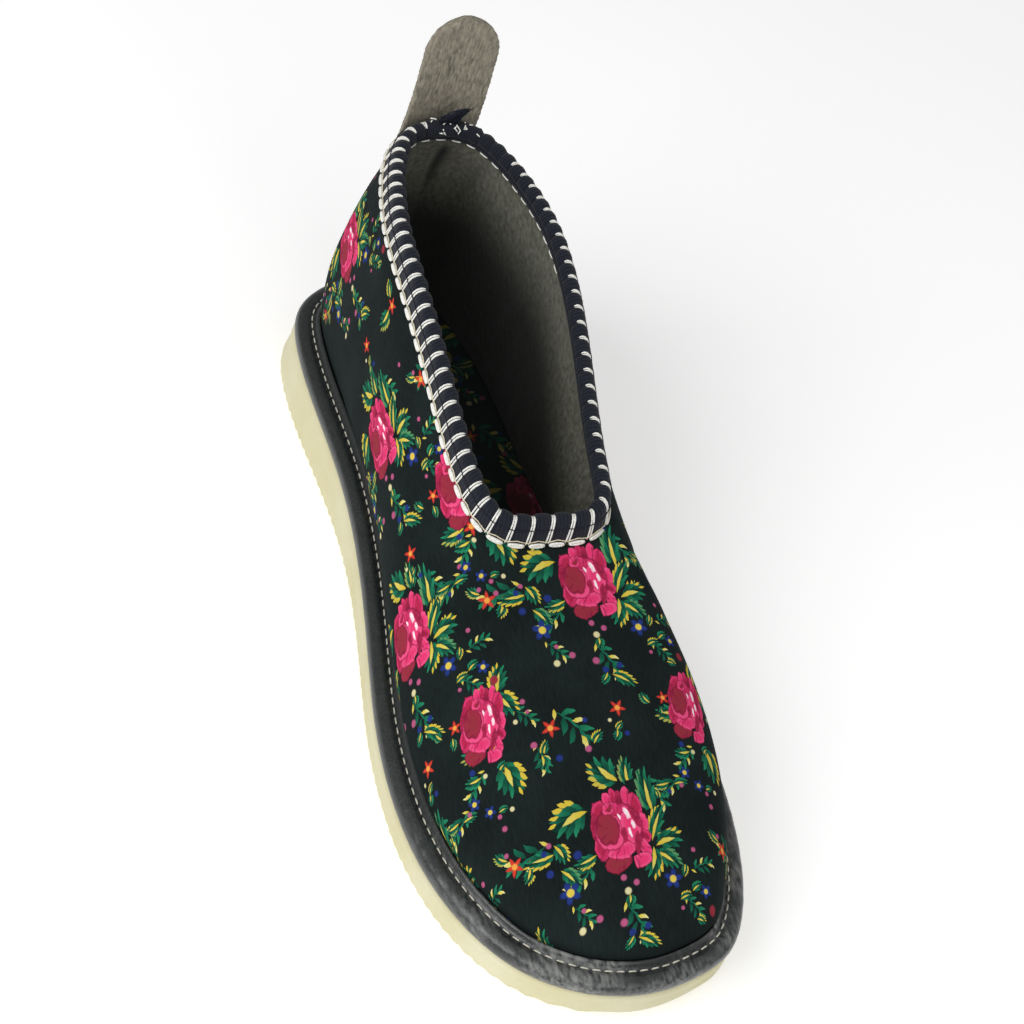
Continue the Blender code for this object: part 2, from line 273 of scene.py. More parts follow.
def half_chart(rows):
    """Cloth measure of half the upper: distance from the ridge, and from the toe up towards the heel.

    The run is along, or the way round the heel behind TURN. At each run the climb from the foot
    is summed row by row up to the ridge; close to the ridge the straight distance serves.
    """
    hops = np.linalg.norm(np.diff(rows[:, :, :2], axis=1), axis=2)
    way = np.concatenate([np.zeros((len(rows), 1)), np.cumsum(hops, 1)], 1)
    run = np.maximum.accumulate(rows[:, :, 1], axis=1)
    for j in range(len(rows)):
        turn = np.interp(TURN, run[j], way[j])
        run[j] = np.where(run[j] < TURN, TURN - (turn - way[j]), run[j])
    run = run + np.arange(rows.shape[1]) * HAIR
    reads = np.arange(np.floor(run.min()), np.ceil(run.max()) + 1)
    cut = np.stack([np.stack([np.interp(reads, run[j], rows[j, :, i]) for i in range(3)], 1)
                    for j in range(len(rows))])
    inside = reads <= run[:, -1:]
    hop = np.linalg.norm(np.diff(cut, axis=0), axis=2) * (inside[1:] & inside[:-1])
    climb = np.concatenate([np.zeros((1, len(reads))), np.cumsum(hop, 0)])
    ridge = np.stack([np.interp(reads, run[::-1, -1], rows[::-1, -1, i]) for i in range(3)], 1)
    last = len(rows) - 1 - np.argmax(inside[::-1], axis=0)
    girth = climb[-1] + np.linalg.norm(cut[last, np.arange(len(reads))] - ridge, axis=1)
    climb = np.where(reads > run[:, -1:], girth, climb)
    girth = np.where(reads < THROAT, np.interp(THROAT, reads, girth), girth)
    slope = np.where(reads < THROAT, 0.0, np.gradient(ridge[:, 2], reads))
    length = np.append(0.0, np.cumsum(np.sqrt(1 + ((slope[1:] + slope[:-1]) / 2) ** 2)))
    side = np.stack([np.interp(run[j], reads, girth) - np.interp(run[j], reads, climb[j])
                     for j in range(len(rows))])
    over = np.stack([np.interp(run, reads, ridge[:, i]) for i in range(3)], 2)
    chord = np.linalg.norm(rows - over, axis=2)
    far = np.where(run < THROAT, 1.0, ease(chord, NEAR, WIDE))
    return chord + (side - chord) * far, np.interp(run, reads, length[-1] - length)


def cloth_chart(grid):
    """Cloth measure (across it, up it from the toe) per grid point; one column more closes the back."""
    back = -np.arange(HALF + 1) % LINES
    lateral, lateral_up = half_chart(grid[:, :HALF + 1])
    medial, medial_up = half_chart(grid[:, back])
    chart = np.zeros((len(grid), LINES + 1, 2))
    chart[:, :HALF + 1] = np.stack([-lateral, lateral_up], 2)
    chart[:, HALF + 1:] = np.stack([medial, medial_up], 2)[:, HALF - 1::-1]
    return chart


CHART = cloth_chart(FACE) - (0.0, SKIRT)

# Soft troughs (minus) and ridges in the cloth: across and up at one end, at the other, width, depth
CREASES = [
    (-21, 119, -42, 106, 5.0, -0.55), (-17, 112, -34, 96, 6.0, 0.35), (24, 118, 44, 108, 5.0, -0.50),
    (18, 111, 34, 97, 6.0, 0.30), (-14, 92, 16, 90, 7.0, -0.25), (-34, 60, -12, 50, 8.0, 0.25),
    (-20, 205, -54, 214, 7.0, -0.45), (-8, 236, -50, 243, 6.0, 0.40), (16, 204, 50, 213, 7.0, -0.45),
    (12, 236, 46, 244, 6.0, 0.35), (-30, 150, -58, 158, 8.0, 0.35), (30, 148, 56, 156, 8.0, 0.35)]
CREASE_END = 0.12  # of a half wave, left at both ends of a crease
GATHERS, GATHER_HIGH = 61, 0.30  # small folds round the rand, and their height
GATHER_DRIFT, GATHER_SWAY = 5, 7  # times round the shoe that their step and their height change
GATHER_REACH, GATHER_START = 5.0, 3.0
WAVE_HIGH, WAVE_UP, WAVE_ACROSS = 0.16, 9.5, 12.5
SWELL_HIGH, SWELL_AT = 0.25, 2.5  # of the cloth just over the rand
SEAM_DEEP, SEAM_WIDE, SEAM_START = 0.55, 1.1, 4.0
CALM = 7.0  # under the chain line, where the relief dies away


def trough(chart, row):
    """Height of one crease: a bell across the line between its ends, dying away at both."""
    start, end = np.array(row[:2], float), np.array(row[2:4], float)
    wide, deep = row[4:]
    run = end - start
    share = np.clip(((chart - start) @ run) / (run @ run), 0, 1)
    off = np.linalg.norm(chart - start - share[..., None] * run, axis=-1)
    arch = np.sin(np.pi * (CREASE_END + (1 - 2 * CREASE_END) * share))
    return deep * np.exp(-(off / (wide / 2)) ** 2) * arch


def upper_relief():
    """How far the cloth stands off its plain face: gathers at the rand, slow waves and creases."""
    chart = CHART[SKIRT_ROWS:, :LINES]
    way, total = ring_way(FACE[SKIRT_ROWS])
    round_ = way / total * 2 * np.pi
    rise = np.linalg.norm(np.diff(FACE[SKIRT_ROWS:], axis=0), axis=2)
    rise = np.concatenate([np.zeros((1, LINES)), np.cumsum(rise, 0)])
    gather = np.sin(GATHERS * round_ + 1.7 * np.sin(GATHER_DRIFT * round_))
    gather = gather * (0.6 + 0.4 * np.sin(GATHER_SWAY * round_ + 0.8))
    relief = GATHER_HIGH * gather * np.exp(-rise / GATHER_REACH) * ease(rise, 0.0, GATHER_START)
    relief += WAVE_HIGH * np.sin(chart[..., 1] / WAVE_UP + 0.7) * np.sin(chart[..., 0] / WAVE_ACROSS + 0.4)
    relief += SWELL_HIGH * np.exp(-((rise - SWELL_AT) / SWELL_AT) ** 2)
    for row in CREASES:
        relief += trough(chart, row)
    seam = np.minimum(way, total - way)
    relief -= SEAM_DEEP * np.exp(-(seam / SEAM_WIDE) ** 2) * ease(rise, 0.0, SEAM_START)
    below = rise[-1 - CREST_ROWS] - rise
    return relief * ease(below, 0.0, CALM)


FACE[SKIRT_ROWS:] += FACE_NORMAL[SKIRT_ROWS:] * upper_relief()[..., None]


def tape_frame():
    """Crest of the collar with the directions off the face and up from the chain line."""
    crest, chain = FACE[-1], FACE[-1 - CREST_ROWS]
    up = unit(crest - chain)
    off = unit(np.cross(np.roll(crest, -1, 0) - np.roll(crest, 1, 0), up))
    return crest, outwards(off, crest), up


CREST, CREST_OFF, CREST_UP = tape_frame()
CREST_WAY, CREST_TOTAL = ring_way(CREST)
CREST_ROUND = unit(np.roll(CREST, -1, 0) - np.roll(CREST, 1, 0))


def tape_at(way, off, past, slide=0.0):
    """Point by the collar edge: way round it, off the upper's face, past its crest, slid along it."""
    frame_rows = np.concatenate([CREST, CREST_OFF, CREST_UP, CREST_ROUND], 1)
    row = read_ring(frame_rows, CREST_WAY, CREST_TOTAL, way)
    off, past, slide = (np.asarray(v, float)[..., None] for v in (off, past, slide))
    return row[..., :3] + row[..., 3:6] * off + row[..., 6:9] * past + row[..., 9:12] * slide


CUT = 0.25


def soften(corners, times):
    """Closed profile with its corners cut off at a quarter of the sides, as often as times says."""
    p = np.array(corners, float)
    for _ in range(times):
        q = np.roll(p, -1, 0)
        p = np.stack([(1 - CUT) * p + CUT * q, CUT * p + (1 - CUT) * q], 1).reshape(-1, 2)
    return p


def grid_faces(rows, columns, tube=False):
    """Quads of a grid whose columns close on themselves, and in a tube its rows too."""
    i, j = np.arange(rows if tube else rows - 1)[:, None], np.arange(columns)
    low, high = i * columns, (i + 1) % rows * columns
    beside = (j + 1) % columns
    return np.stack([low + j, low + beside, high + beside, high + j], -1).reshape(-1, 4)


def cap(ring, first, made, columns, above=None):
    """Lid over a ring whose points start at index first: strips from its lateral to its medial half.

    New points stand on the line between the halves, raised by above(share across, along); made
    counts the points that exist already. Gives the new points, the quads and the end triangles.
    """
    lateral = ring[1:HALF]
    medial = ring[:HALF:-1]
    share = np.linspace(0, 1, columns + 1)[1:-1]
    points = lateral[:, None] + (medial - lateral)[:, None] * share[:, None]
    if above:
        points[..., 2] += above(share[None], points[..., 1])
    index = np.zeros((HALF - 1, columns + 1), int)
    index[:, 0] = first + np.arange(1, HALF)
    index[:, -1] = first + np.arange(LINES - 1, HALF, -1)
    index[:, 1:-1] = made + np.arange(points[..., 0].size).reshape(points.shape[:2])
    a, b = index[:-1], index[1:]
    quads = np.stack([a[:, :-1], b[:, :-1], b[:, 1:], a[:, 1:]], -1).reshape(-1, 4)
    heel = np.stack([np.full(columns, first), index[0, :-1], index[0, 1:]], 1)
    toe = np.stack([np.full(columns, first + HALF), index[-1, 1:], index[-1, :-1]], 1)
    return points.reshape(-1, 3), quads, np.vstack([heel, toe])


def lidded(grid, lid, low, floor):
    """Points and faces of a stack of rings with a lid on its last ring and an underside on low.

    lid and floor each give the columns of theirs and what raises it, if anything does.
    """
    made = grid[..., 0].size
    top, quads, ends = cap(grid[-1], made - LINES, made, *lid)
    under, low_quads, low_ends = cap(low, 0, made + len(top), *floor)
    faces = [grid_faces(len(grid), LINES), quads, ends, low_quads[:, ::-1], low_ends[:, ::-1]]
    return np.vstack([grid.reshape(-1, 3), top, under]), faces


def add_object(name, data):
    """Object of a mesh, light or camera, linked into the scene."""
    made = bpy.data.objects.new(name, data)
    bpy.context.scene.collection.objects.link(made)
    return made


def lay(name, points, faces, material, node=None):
    """Piece from points in the shoe's measure and arrays of faces; it rides on the shoe."""
    points = points.reshape(-1, 3)
    at = np.c_[points[:, 0] - MIDDLE[0], MIDDLE[1] - points[:, 1], points[:, 2]] * MM
    mesh = bpy.data.meshes.new(name)
    mesh.vertices.add(len(at))
    mesh.vertices.foreach_set("co", at.ravel())
    corners = np.concatenate([f.ravel() for f in faces])
    sizes = np.concatenate([np.full(len(f), f.shape[1]) for f in faces])
    mesh.loops.add(len(corners))
    mesh.loops.foreach_set("vertex_index", corners)
    mesh.polygons.add(len(sizes))
    mesh.polygons.foreach_set("loop_start", np.append(0, np.cumsum(sizes))[:-1])
    mesh.update(calc_edges=True)
    mesh.shade_smooth()
    mesh.materials.append(material)
    piece = add_object(name, mesh)
    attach(piece, "root")
    if node:
        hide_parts(node)
    return piece


def sew(name, material, paths, off, radius, sides=6, closed=False):
    """Piece of threads: tubes whose rings of sides points stand about each path.

    paths is strands x steps x 3, off a direction beside them, radius a number or one per step. A
    closed path runs back into its start, an open one has both ends capped.
    """
    strands, steps = paths.shape[:2]
    run = np.roll(paths, -1, 1) - np.roll(paths, 1, 1) if closed else np.gradient(paths, axis=1)
    run = unit(run)
    side = unit(np.cross(run, np.broadcast_to(off, paths.shape)))
    out = np.cross(side, run)
    turn = np.arange(sides)[:, None] / sides * 2 * np.pi
    spoke = side[:, :, None] * np.cos(turn) + out[:, :, None] * np.sin(turn)
    rings = paths[:, :, None] + np.broadcast_to(radius, (steps,))[:, None, None] * spoke
    first = (np.arange(strands) * steps * sides)[:, None]
    faces = [(grid_faces(steps, sides, tube=closed) + first[:, :, None]).reshape(-1, 4)]
    if not closed:
        faces += [first + np.arange(sides)[::-1], first + (steps - 1) * sides + np.arange(sides)]
    lay(name, rings, faces, material)


def hue(code):
    """Linear colour of a hex code."""
    c = np.array([int(code[i:i + 2], 16) for i in (1, 3, 5)]) / 255
    c = np.where(c <= 0.04045, c / 12.92, ((c + 0.055) / 1.055) ** 2.4)
    return (*c.tolist(), 1.0)


class Wiring:
    """Nodes of one tree, added call by call; a feed is a value, a hex code or another node's socket."""

    def __init__(self, tree):
        self.tree = tree

    def feed(self, socket, feed):
        if isinstance(feed, bpy.types.NodeSocket):
            self.tree.links.new(feed, socket)
        elif feed is not None:
            socket.default_value = hue(feed) if isinstance(feed, str) else feed

    def add(self, kind, *feeds, **settings):
        node = self.tree.nodes.new("ShaderNode" + kind)
        for name, value in settings.items():
            setattr(node, name, value)
        for socket, feed in zip(node.inputs, feeds):
            self.feed(socket, feed)
        return node

    def math(self, operation, *feeds):
        return self.add("Math", *feeds, operation=operation).outputs[0]

    def span(self, value, low, high, start=0.0, end=1.0):
        """The value's run from low to high as start to end, held at both ends."""
        return self.add("MapRange", value, low, high, start, end).outputs[0]

    def ramp(self, value, low, high, start=0.0, end=1.0):
        """As span but running on past both ends, for a share that blend holds by itself."""
        return self.add("MapRange", value, low, high, start, end, clamp=False).outputs[0]

    def blend(self, share, under, over):
        """The over colour laid on the under colour by a share, held between 0 and 1."""
        node = self.add("Mix", data_type="RGBA")
        for i, feed in ((0, share), (6, under), (7, over)):
            self.feed(node.inputs[i], feed)
        return node.outputs[2]

    def mottle(self, value, low, high, under, over, most=1.0):
        """The under colour where the value is low, running to the over colour, or to a share of it."""
        return self.blend(self.span(value, low, high, 0.0, most), under, over)

    def into(self, place, middle, along, aside):
        """Place counted from a shape's middle in its half length and half width."""
        off = self.add("VectorMath", place, middle, operation="SUBTRACT").outputs[0]
        return [self.add("VectorMath", off, axis, operation="DOT_PRODUCT").outputs["Value"]
                for axis in (along, aside)]

    def far(self, x, y):
        """Distance of a place from the middle."""
        return self.math("SQRT", self.math("MULTIPLY_ADD", x, x, self.math("MULTIPLY", y, y)))

    def split(self, place):
        """The three numbers of a place."""
        return self.add("SeparateXYZ", place).outputs

    def scaled(self, place, scale):
        return self.add("VectorMath", place, scale, operation="MULTIPLY").outputs[0]

    def noise(self, place, scale, detail=2.0, rough=0.5):
        node = self.add("TexNoise", place)
        for name, value in (("Scale", scale), ("Detail", detail), ("Roughness", rough)):
            node.inputs[name].default_value = value
        return node.outputs[0]

    def ruffled(self, place, scale, reach):
        """The place, laid flat and pushed about by noise, so that painted edges come out ragged."""
        place = self.scaled(place, (1.0, 1.0, 0.0))
        node = self.add("TexNoise", place)
        node.inputs["Scale"].default_value = scale
        push = self.add("VectorMath", node.outputs[1], (0.5, 0.5, 0.5), operation="SUBTRACT").outputs[0]
        return self.add("VectorMath", push, (reach, reach, 0.0), place, operation="MULTIPLY_ADD").outputs[0]

    def part(self, tree, **feeds):
        """A shader group placed in this tree, with its own values."""
        node = self.add("Group", node_tree=tree)
        for name, feed in feeds.items():
            self.feed(node.inputs[name], feed)
        return node.outputs

    def attribute(self, name):
        return self.add("Attribute", attribute_name=name).outputs


def make_group(name, takes, gives):
    """Empty shader group; takes and gives name its sockets with their kinds."""
    tree = bpy.data.node_groups.new(name, "ShaderNodeTree")
    for label, kind in takes.items():
        tree.interface.new_socket(label, in_out="INPUT", socket_type="NodeSocket" + kind)
    for label, kind in gives.items():
        tree.interface.new_socket(label, in_out="OUTPUT", socket_type="NodeSocket" + kind)
    wire = Wiring(tree)
    return tree, wire, tree.nodes.new("NodeGroupInput").outputs, tree.nodes.new("NodeGroupOutput").inputs


def half_axes(turn, long, wide):
    """Directions along and across a turned shape, each over its half size."""
    c, s = np.cos(np.radians(turn)), np.sin(np.radians(turn))
    return (c / long, s / long, 0.0), (-s / wide, c / wide, 0.0)


PRINTED = {"Color": "Color", "Cover": "Float"}
BLANK = (0.0, 0.0, 0.0, 1.0)


def mark_group(name, own, draw):
    """Shader group that lays one painted mark over what is under it.

    The mark stands at Middle; Along and Aside are its half_axes. own names its further inputs, draw
    gives its mask and colour from the place counted in its half sizes.
    """
    takes = {"Under": "Color", "Cover": "Float", "Place": "Vector", "Middle": "Vector", "Along": "Vector",
             "Aside": "Vector", **own}
    tree, wire, take, give = make_group(name, takes, PRINTED)
    x, y = wire.into(take["Place"], take["Middle"], take["Along"], take["Aside"])
    mask, tint = draw(wire, take, x, y)
    wire.feed(give["Color"], wire.blend(mask, take["Under"], tint))
    wire.feed(give["Cover"], wire.math("MAXIMUM", take["Cover"], mask))
    return tree


def draw_petal(wire, take, x, y):
    """Oval whose inner colour runs into that of its rim, with a line along its edge."""
    far = wire.far(x, y)
    mask = wire.ramp(far, 0.94, 1.04, 1.0, 0.0)
    tint = wire.blend(wire.ramp(far, 0.45, 0.85), take["Inner"], take["Rim"])
    return mask, wire.blend(wire.ramp(far, 0.86, 0.95), tint, take["Line"])


def draw_stroke(wire, take, x, y):
    """Brush stroke: a pointed, bent lens running from one colour at its foot to another at its tip."""
    square = wire.math("MULTIPLY", x, x)
    off = wire.math("ABSOLUTE", wire.math("MULTIPLY_ADD", square, take["Bend"], y))
    mask = wire.ramp(wire.math("ADD", square, off), 0.82, 1.06, 1.0, 0.0)
    return mask, wire.blend(wire.ramp(x, -0.5, 0.8), take["Foot"], take["Tip"])


PETAL = mark_group("painted_petal", {"Inner": "Color", "Rim": "Color", "Line": "Color"}, draw_petal)
STROKE = mark_group("painted_stroke", {"Bend": "Float", "Foot": "Color", "Tip": "Color"}, draw_stroke)


def paint(wire, place, mark, rows, colours):
    """Marks laid one over the other: middle x, y, half length, half width, turn, own values, colours."""
    colour, cover = BLANK, 0.0
    for x, y, long, wide, turn, *own, tint in rows:
        node = wire.add("Group", colour, cover, place, (x, y, 0.0), *half_axes(turn, long, wide), *own,
                        *colours[tint], node_tree=mark)
        colour, cover = node.outputs
    return colour, cover


ROSE_COLOURS = {
    "pink": ("#b8284f", "#e23c74", "#8a1c3c"), "bright": ("#e83b74", "#f2568a", "#a8224c"),
    "wine": ("#97303f", "#a02c44", "#7c1a34"), "deep": ("#9c2344", "#b42a52", "#84193a"),
    "pale": ("#fff2f5", "#fbc4d4", "#ee6d98")}
SPOKES, SPOKE_LENGTH, SPOKE_DARK = 7.0, 2.2, 0.6  # dark strokes of a rose

# Petals of a rose in halves of its width and height: middle, half size, turn, colours
ROSE_PETALS = [
    (-0.62, 0.58, 0.34, 0.27, 35, "pink"), (-0.88, 0.22, 0.16, 0.36, -8, "deep"),
    (-0.26, 0.80, 0.15, 0.22, 8, "bright"), (0.18, 0.74, 0.16, 0.22, 0, "deep"),
    (-0.04, 0.84, 0.14, 0.20, -4, "pink"), (0.42, 0.80, 0.15, 0.26, -8, "bright"),
    (0.68, 0.50, 0.24, 0.36, 14, "pink"), (0.82, 0.04, 0.22, 0.26, 6, "bright"),
    (0.74, -0.24, 0.27, 0.17, -20, "pink"), (0.70, -0.58, 0.19, 0.28, 12, "bright"),
    (-0.36, -0.78, 0.50, 0.24, 6, "wine"), (0.50, -0.84, 0.36, 0.19, 6, "bright"),
    (-0.84, -0.36, 0.22, 0.30, 20, "pink"), (0.00, 0.02, 0.80, 0.70, 0, "pink"),
    (-0.14, -0.52, 0.56, 0.21, 4, "bright"), (-0.44, 0.01, 0.53, 0.49, 0, "bright"),
    (-0.48, 0.08, 0.43, 0.40, 0, "wine"), (-0.30, 0.58, 0.24, 0.16, 20, "bright"),
    (-0.28, 0.56, 0.11, 0.07, 20, "wine"), (0.34, 0.02, 0.35, 0.47, 12, "bright"),
    (0.55, 0.26, 0.10, 0.32, 20, "deep"), (0.07, -0.12, 0.11, 0.15, 20, "deep"),
    (0.46, -0.42, 0.10, 0.28, -14, "deep"), (0.30, 0.36, 0.08, 0.20, 28, "pale"),
    (0.03, 0.32, 0.055, 0.11, 20, "pale"), (0.47, 0.04, 0.06, 0.13, 26, "pale"),
    (0.30, -0.12, 0.07, 0.13, 12, "pale")]


def rose(wire, place):
    """Ragged petals about a wine-red bowl, dark strokes running out from it."""
    place = wire.ruffled(place, 3.6, 0.22)
    colour, cover = paint(wire, place, PETAL, ROSE_PETALS, ROSE_COLOURS)
    x, y, _ = wire.split(place)
    spoke = wire.math("MULTIPLY", wire.math("ARCTAN2", y, x), SPOKES)
    far = wire.add("VectorMath", place, operation="LENGTH").outputs["Value"]
    polar = wire.add("CombineXYZ", spoke, wire.math("MULTIPLY", far, SPOKE_LENGTH)).outputs[0]
    dark = wire.ramp(wire.noise(polar, 1.0, 1.0), 0.56, 0.64, 0.0, SPOKE_DARK)
    dark = wire.math("MINIMUM", dark, wire.ramp(far, 0.35, 0.55, 0.0, SPOKE_DARK))
    dark = wire.math("MINIMUM", dark, SPOKE_DARK)
    return wire.blend(dark, colour, ROSE_COLOURS["deep"][2]), cover


GREENS = {
    "dark": ("#0b3a2e", "#0a3329"), "mid": ("#0f4c3a", "#1a6b50"), "green": ("#15674b", "#268a63"),
    "stem": ("#14604a", "#1f7a5d"), "yellow": ("#d8bf42", "#ddd26a"), "pale": ("#d9c850", "#ece6a0")}

# Strokes of a leaf that runs from x 0 to 1: middle, half length, half width, turn, bend, colours
LEAF_STROKES = [
    (0.50, 0.00, 0.55, 0.40, 0, 0.0, "dark"), (0.20, -0.22, 0.25, 0.095, -50, 0.4, "mid"),
    (0.40, -0.28, 0.29, 0.095, -42, 0.4, "green"), (0.60, -0.25, 0.28, 0.085, -32, 0.4, "mid"),
    (0.80, -0.15, 0.24, 0.075, -20, 0.3, "green"), (0.18, 0.20, 0.24, 0.095, 52, -0.4, "green"),
    (0.38, 0.26, 0.28, 0.090, 44, -0.4, "mid"), (0.58, 0.23, 0.27, 0.085, 34, -0.4, "green"),
    (0.78, 0.13, 0.24, 0.070, 20, -0.3, "mid"), (0.34, -0.02, 0.40, 0.095, 2, 0.7, "yellow")]
# Yellow teeth along the leaf's upper edge, as rich as the third number of its place says
LEAF_TEETH = [
    (0.26, 0.36, 0.15, 0.075, 44, -0.4, "tooth"), (0.45, 0.40, 0.16, 0.080, 36, -0.4, "tooth"),
    (0.64, 0.35, 0.16, 0.075, 26, -0.4, "tooth"), (0.82, 0.24, 0.15, 0.065, 16, -0.3, "tooth"),
    (0.97, 0.09, 0.13, 0.055, 4, 0.0, "tooth")]


def leaf(wire, place):
    """Leaf of fanned strokes, light on dark green, a yellow rib and yellow teeth on its upper edge."""
    ragged = wire.ruffled(place, 6.0, 0.08)
    rich = wire.split(place)[2]
    tooth = wire.blend(wire.ramp(rich, 0.05, 0.45), GREENS["green"][1], GREENS["yellow"][0])
    return paint(wire, ragged, STROKE, LEAF_STROKES + LEAF_TEETH, {**GREENS, "tooth": (tooth, tooth)})


# Strokes of a sprig that runs from x 0 to 1; columns as above
SPRIG_STROKES = [
    (0.36, 0.05, 0.40, 0.036, 8, 1.2, "stem"), (0.76, 0.02, 0.28, 0.030, -18, -0.8, "stem"),
    (0.20, 0.16, 0.19, 0.065, 58, 0.5, "green"), (0.36, -0.12, 0.21, 0.070, -48, 0.5, "mid"),
    (0.50, 0.19, 0.16, 0.050, 42, 0.4, "pale"), (0.62, -0.14, 0.21, 0.065, -58, 0.5, "mid"),
    (0.72, 0.14, 0.21, 0.065, 34, -0.5, "green"), (0.92, -0.10, 0.19, 0.050, -32, 0.4, "pale"),
    (0.95, 0.06, 0.16, 0.050, 16, -0.4, "green"), (0.04, -0.07, 0.14, 0.042, -48, 0.4, "yellow")]


def sprig(wire, place):
    """Curling sprig: a bent stem with pointed leaflets to both sides, some of them yellow."""
    return paint(wire, wire.ruffled(place, 5.0, 0.12), STROKE, SPRIG_STROKES, GREENS)


FLOWER_POINTS = 5
POINT_SHARP = 1.3


def flower(waist, heart, tints, rounded):
    """Small flower's painter: its edge goes in and out with the angle, in round lobes or in points.

    tints gives the colours of the heart, whose radius is heart, of the petals and of their rim.
    """
    def draw(wire, place):
        x, y, _ = wire.split(place)
        far = wire.far(x, y)
        angle = wire.math("ARCTAN2", y, x)
        if rounded:
            wave = wire.math("ABSOLUTE", wire.math("SINE", wire.math("MULTIPLY", angle, FLOWER_POINTS / 2)))
        else:
            turns = wire.math("MULTIPLY", angle, FLOWER_POINTS / (2 * np.pi))
            wave = wire.math("MULTIPLY", wire.math("PINGPONG", turns, 0.5), 2.0)
            wave = wire.math("POWER", wave, POINT_SHARP)
        inside = wire.math("SUBTRACT", wire.math("MULTIPLY_ADD", wave, 1.0 - waist, waist), far)
        colour = wire.blend(wire.ramp(inside, 0.30, 0.0), tints[1], tints[2])
        colour = wire.blend(wire.ramp(far, heart - 0.05, heart + 0.06), tints[0], colour)
        return colour, wire.ramp(inside, 0.0, 0.14)

    return draw


DOT_COLOURS = ["#b85882", "#ded6a4", "#23357c", "#96303e"]


def dot(wire, place):
    """Round dot in one of four colours, chosen by the third number of its place."""
    x, y, pick = wire.split(place)
    far = wire.far(x, y)
    colour = DOT_COLOURS[0]
    for i, tint in enumerate(DOT_COLOURS[1:]):
        colour = wire.blend(wire.math("GREATER_THAN", pick, i + 0.5), colour, tint)
    return colour, wire.ramp(far, 0.70, 1.10, 1.0, 0.0)


def print_group(name, draw):
    """Shader group of one kind of motif; draw gives its colour and how far it covers the ground."""
    tree, wire, take, give = make_group(name, {"Place": "Vector"}, PRINTED)
    for label, feed in zip(PRINTED, draw(wire, take["Place"])):
        wire.feed(give[label], feed)
    return tree


# The print's kinds in the order in which they are laid over the ground, with what paints each
PAINTERS = {
    "sprig": sprig, "leaf": leaf, "dot": dot,
    "blue": flower(0.48, 0.32, ("#e0c84e", "#223880", "#1a2754"), rounded=True),
    "star": flower(0.38, 0.26, ("#f2a64a", "#d5402f", "#a82a2c"), rounded=False),
    "rose": rose}
PRINT_GROUPS = {kind: print_group(kind + "_print", draw) for kind, draw in PAINTERS.items()}


WARP, WEFT = (16.0, 3.0, 1.0), (3.0, 16.0, 1.0)  # streaks of the weave, per centimetre of cloth


def cloth_group():
    """Fine weave: crossed streaks of noise as a height, and a little unevenness of the dye."""
    gives = {"Height": "Float", "Shade": "Float"}
    tree, wire, take, give = make_group("cotton_weave", {"Place": "Vector"}, gives)
    warp = wire.noise(wire.scaled(take["Place"], WARP), 1.0, 1.0)
    weft = wire.noise(wire.scaled(take["Place"], WEFT), 1.0, 1.0)
    dye = wire.noise(take["Place"], 0.45, 3.0)
    wire.feed(give["Height"], wire.math("ADD", warp, weft))
    wire.feed(give["Shade"], wire.math("ADD", wire.math("MULTIPLY", warp, 0.5), dye))
    return tree


def felt_group():
    """Felt: short matted fibres as streaks of noise, fine fuzz, slow clouds of shade."""
    takes = {"Place": "Vector", "Stretch": "Vector"}
    tree, wire, take, give = make_group("felt_nap", takes, {"Fibre": "Float", "Cloud": "Float"})
    wire.feed(give["Fibre"], wire.noise(wire.scaled(take["Place"], take["Stretch"]), 1.0, 4.0, 0.65))
    wire.feed(give["Cloud"], wire.noise(take["Place"], 95.0, 3.0))
    return tree


CLOTH, FELT = cloth_group(), felt_group()


def new_material(name, rough, specular=0.5, sheen=0.0, coat=0.0, coat_rough=0.03):
    """Material with its shader's constant sockets set; gives it, its wiring and the shader's inputs."""
    material = bpy.data.materials.new(name)
    material.use_nodes = True
    inputs = material.node_tree.nodes["Principled BSDF"].inputs
    constants = {"Roughness": rough, "Specular IOR Level": specular, "Sheen Weight": sheen,
                 "Sheen Roughness": 0.6, "Coat Weight": coat, "Coat Roughness": coat_rough}
    for label, value in constants.items():
        inputs[label].default_value = value
    return material, Wiring(material.node_tree), inputs


def bump(wire, inputs, height, strength, deep=0.0003):
    """Surface grain: the height pushes the normal, deep is its depth in metres."""
    node = wire.add("Bump")
    node.inputs["Strength"].default_value = strength
    node.inputs["Distance"].default_value = deep
    wire.feed(node.inputs["Height"], height)
    wire.feed(inputs["Normal"], node.outputs[0])


def object_place(wire):
    """Place in the shoe's frame, in metres."""
    return wire.add("TexCoord").outputs["Object"]


def cloth_place(wire):
    """Place on the cloth, in centimetres of it."""
    return wire.add("UVMap", uv_map="Cloth").outputs[0]


def cotton_material(name, ground, faded, trodden_and_shade=0.0):
    """Printed cotton: the print's kinds over a near-black ground, read from the piece's own places.

    rubbed is how far the print is laid back into the ground: partly trodden wear, partly painted shade.
    """
    material, wire, inputs = new_material(name, 0.9, specular=0.10)
    weave = wire.part(CLOTH, Place=cloth_place(wire))
    colour = wire.blend(wire.ramp(weave["Shade"], 0.5, 1.1), ground, faded)
    for kind, group in PRINT_GROUPS.items():
        outs = wire.part(group, Place=wire.attribute(kind + "_at")["Vector"])
        colour = wire.blend(outs["Cover"], colour, outs["Color"])
    # uneven dye, and the print laid back into the ground: trodden wear and painted shade
    fade = wire.ramp(weave["Shade"], 0.35, 1.2, 0.10 + trodden_and_shade, trodden_and_shade)
    wire.feed(inputs["Base Color"], wire.blend(fade, colour, faded))
    bump(wire, inputs, weave["Height"], 0.35)
    return material


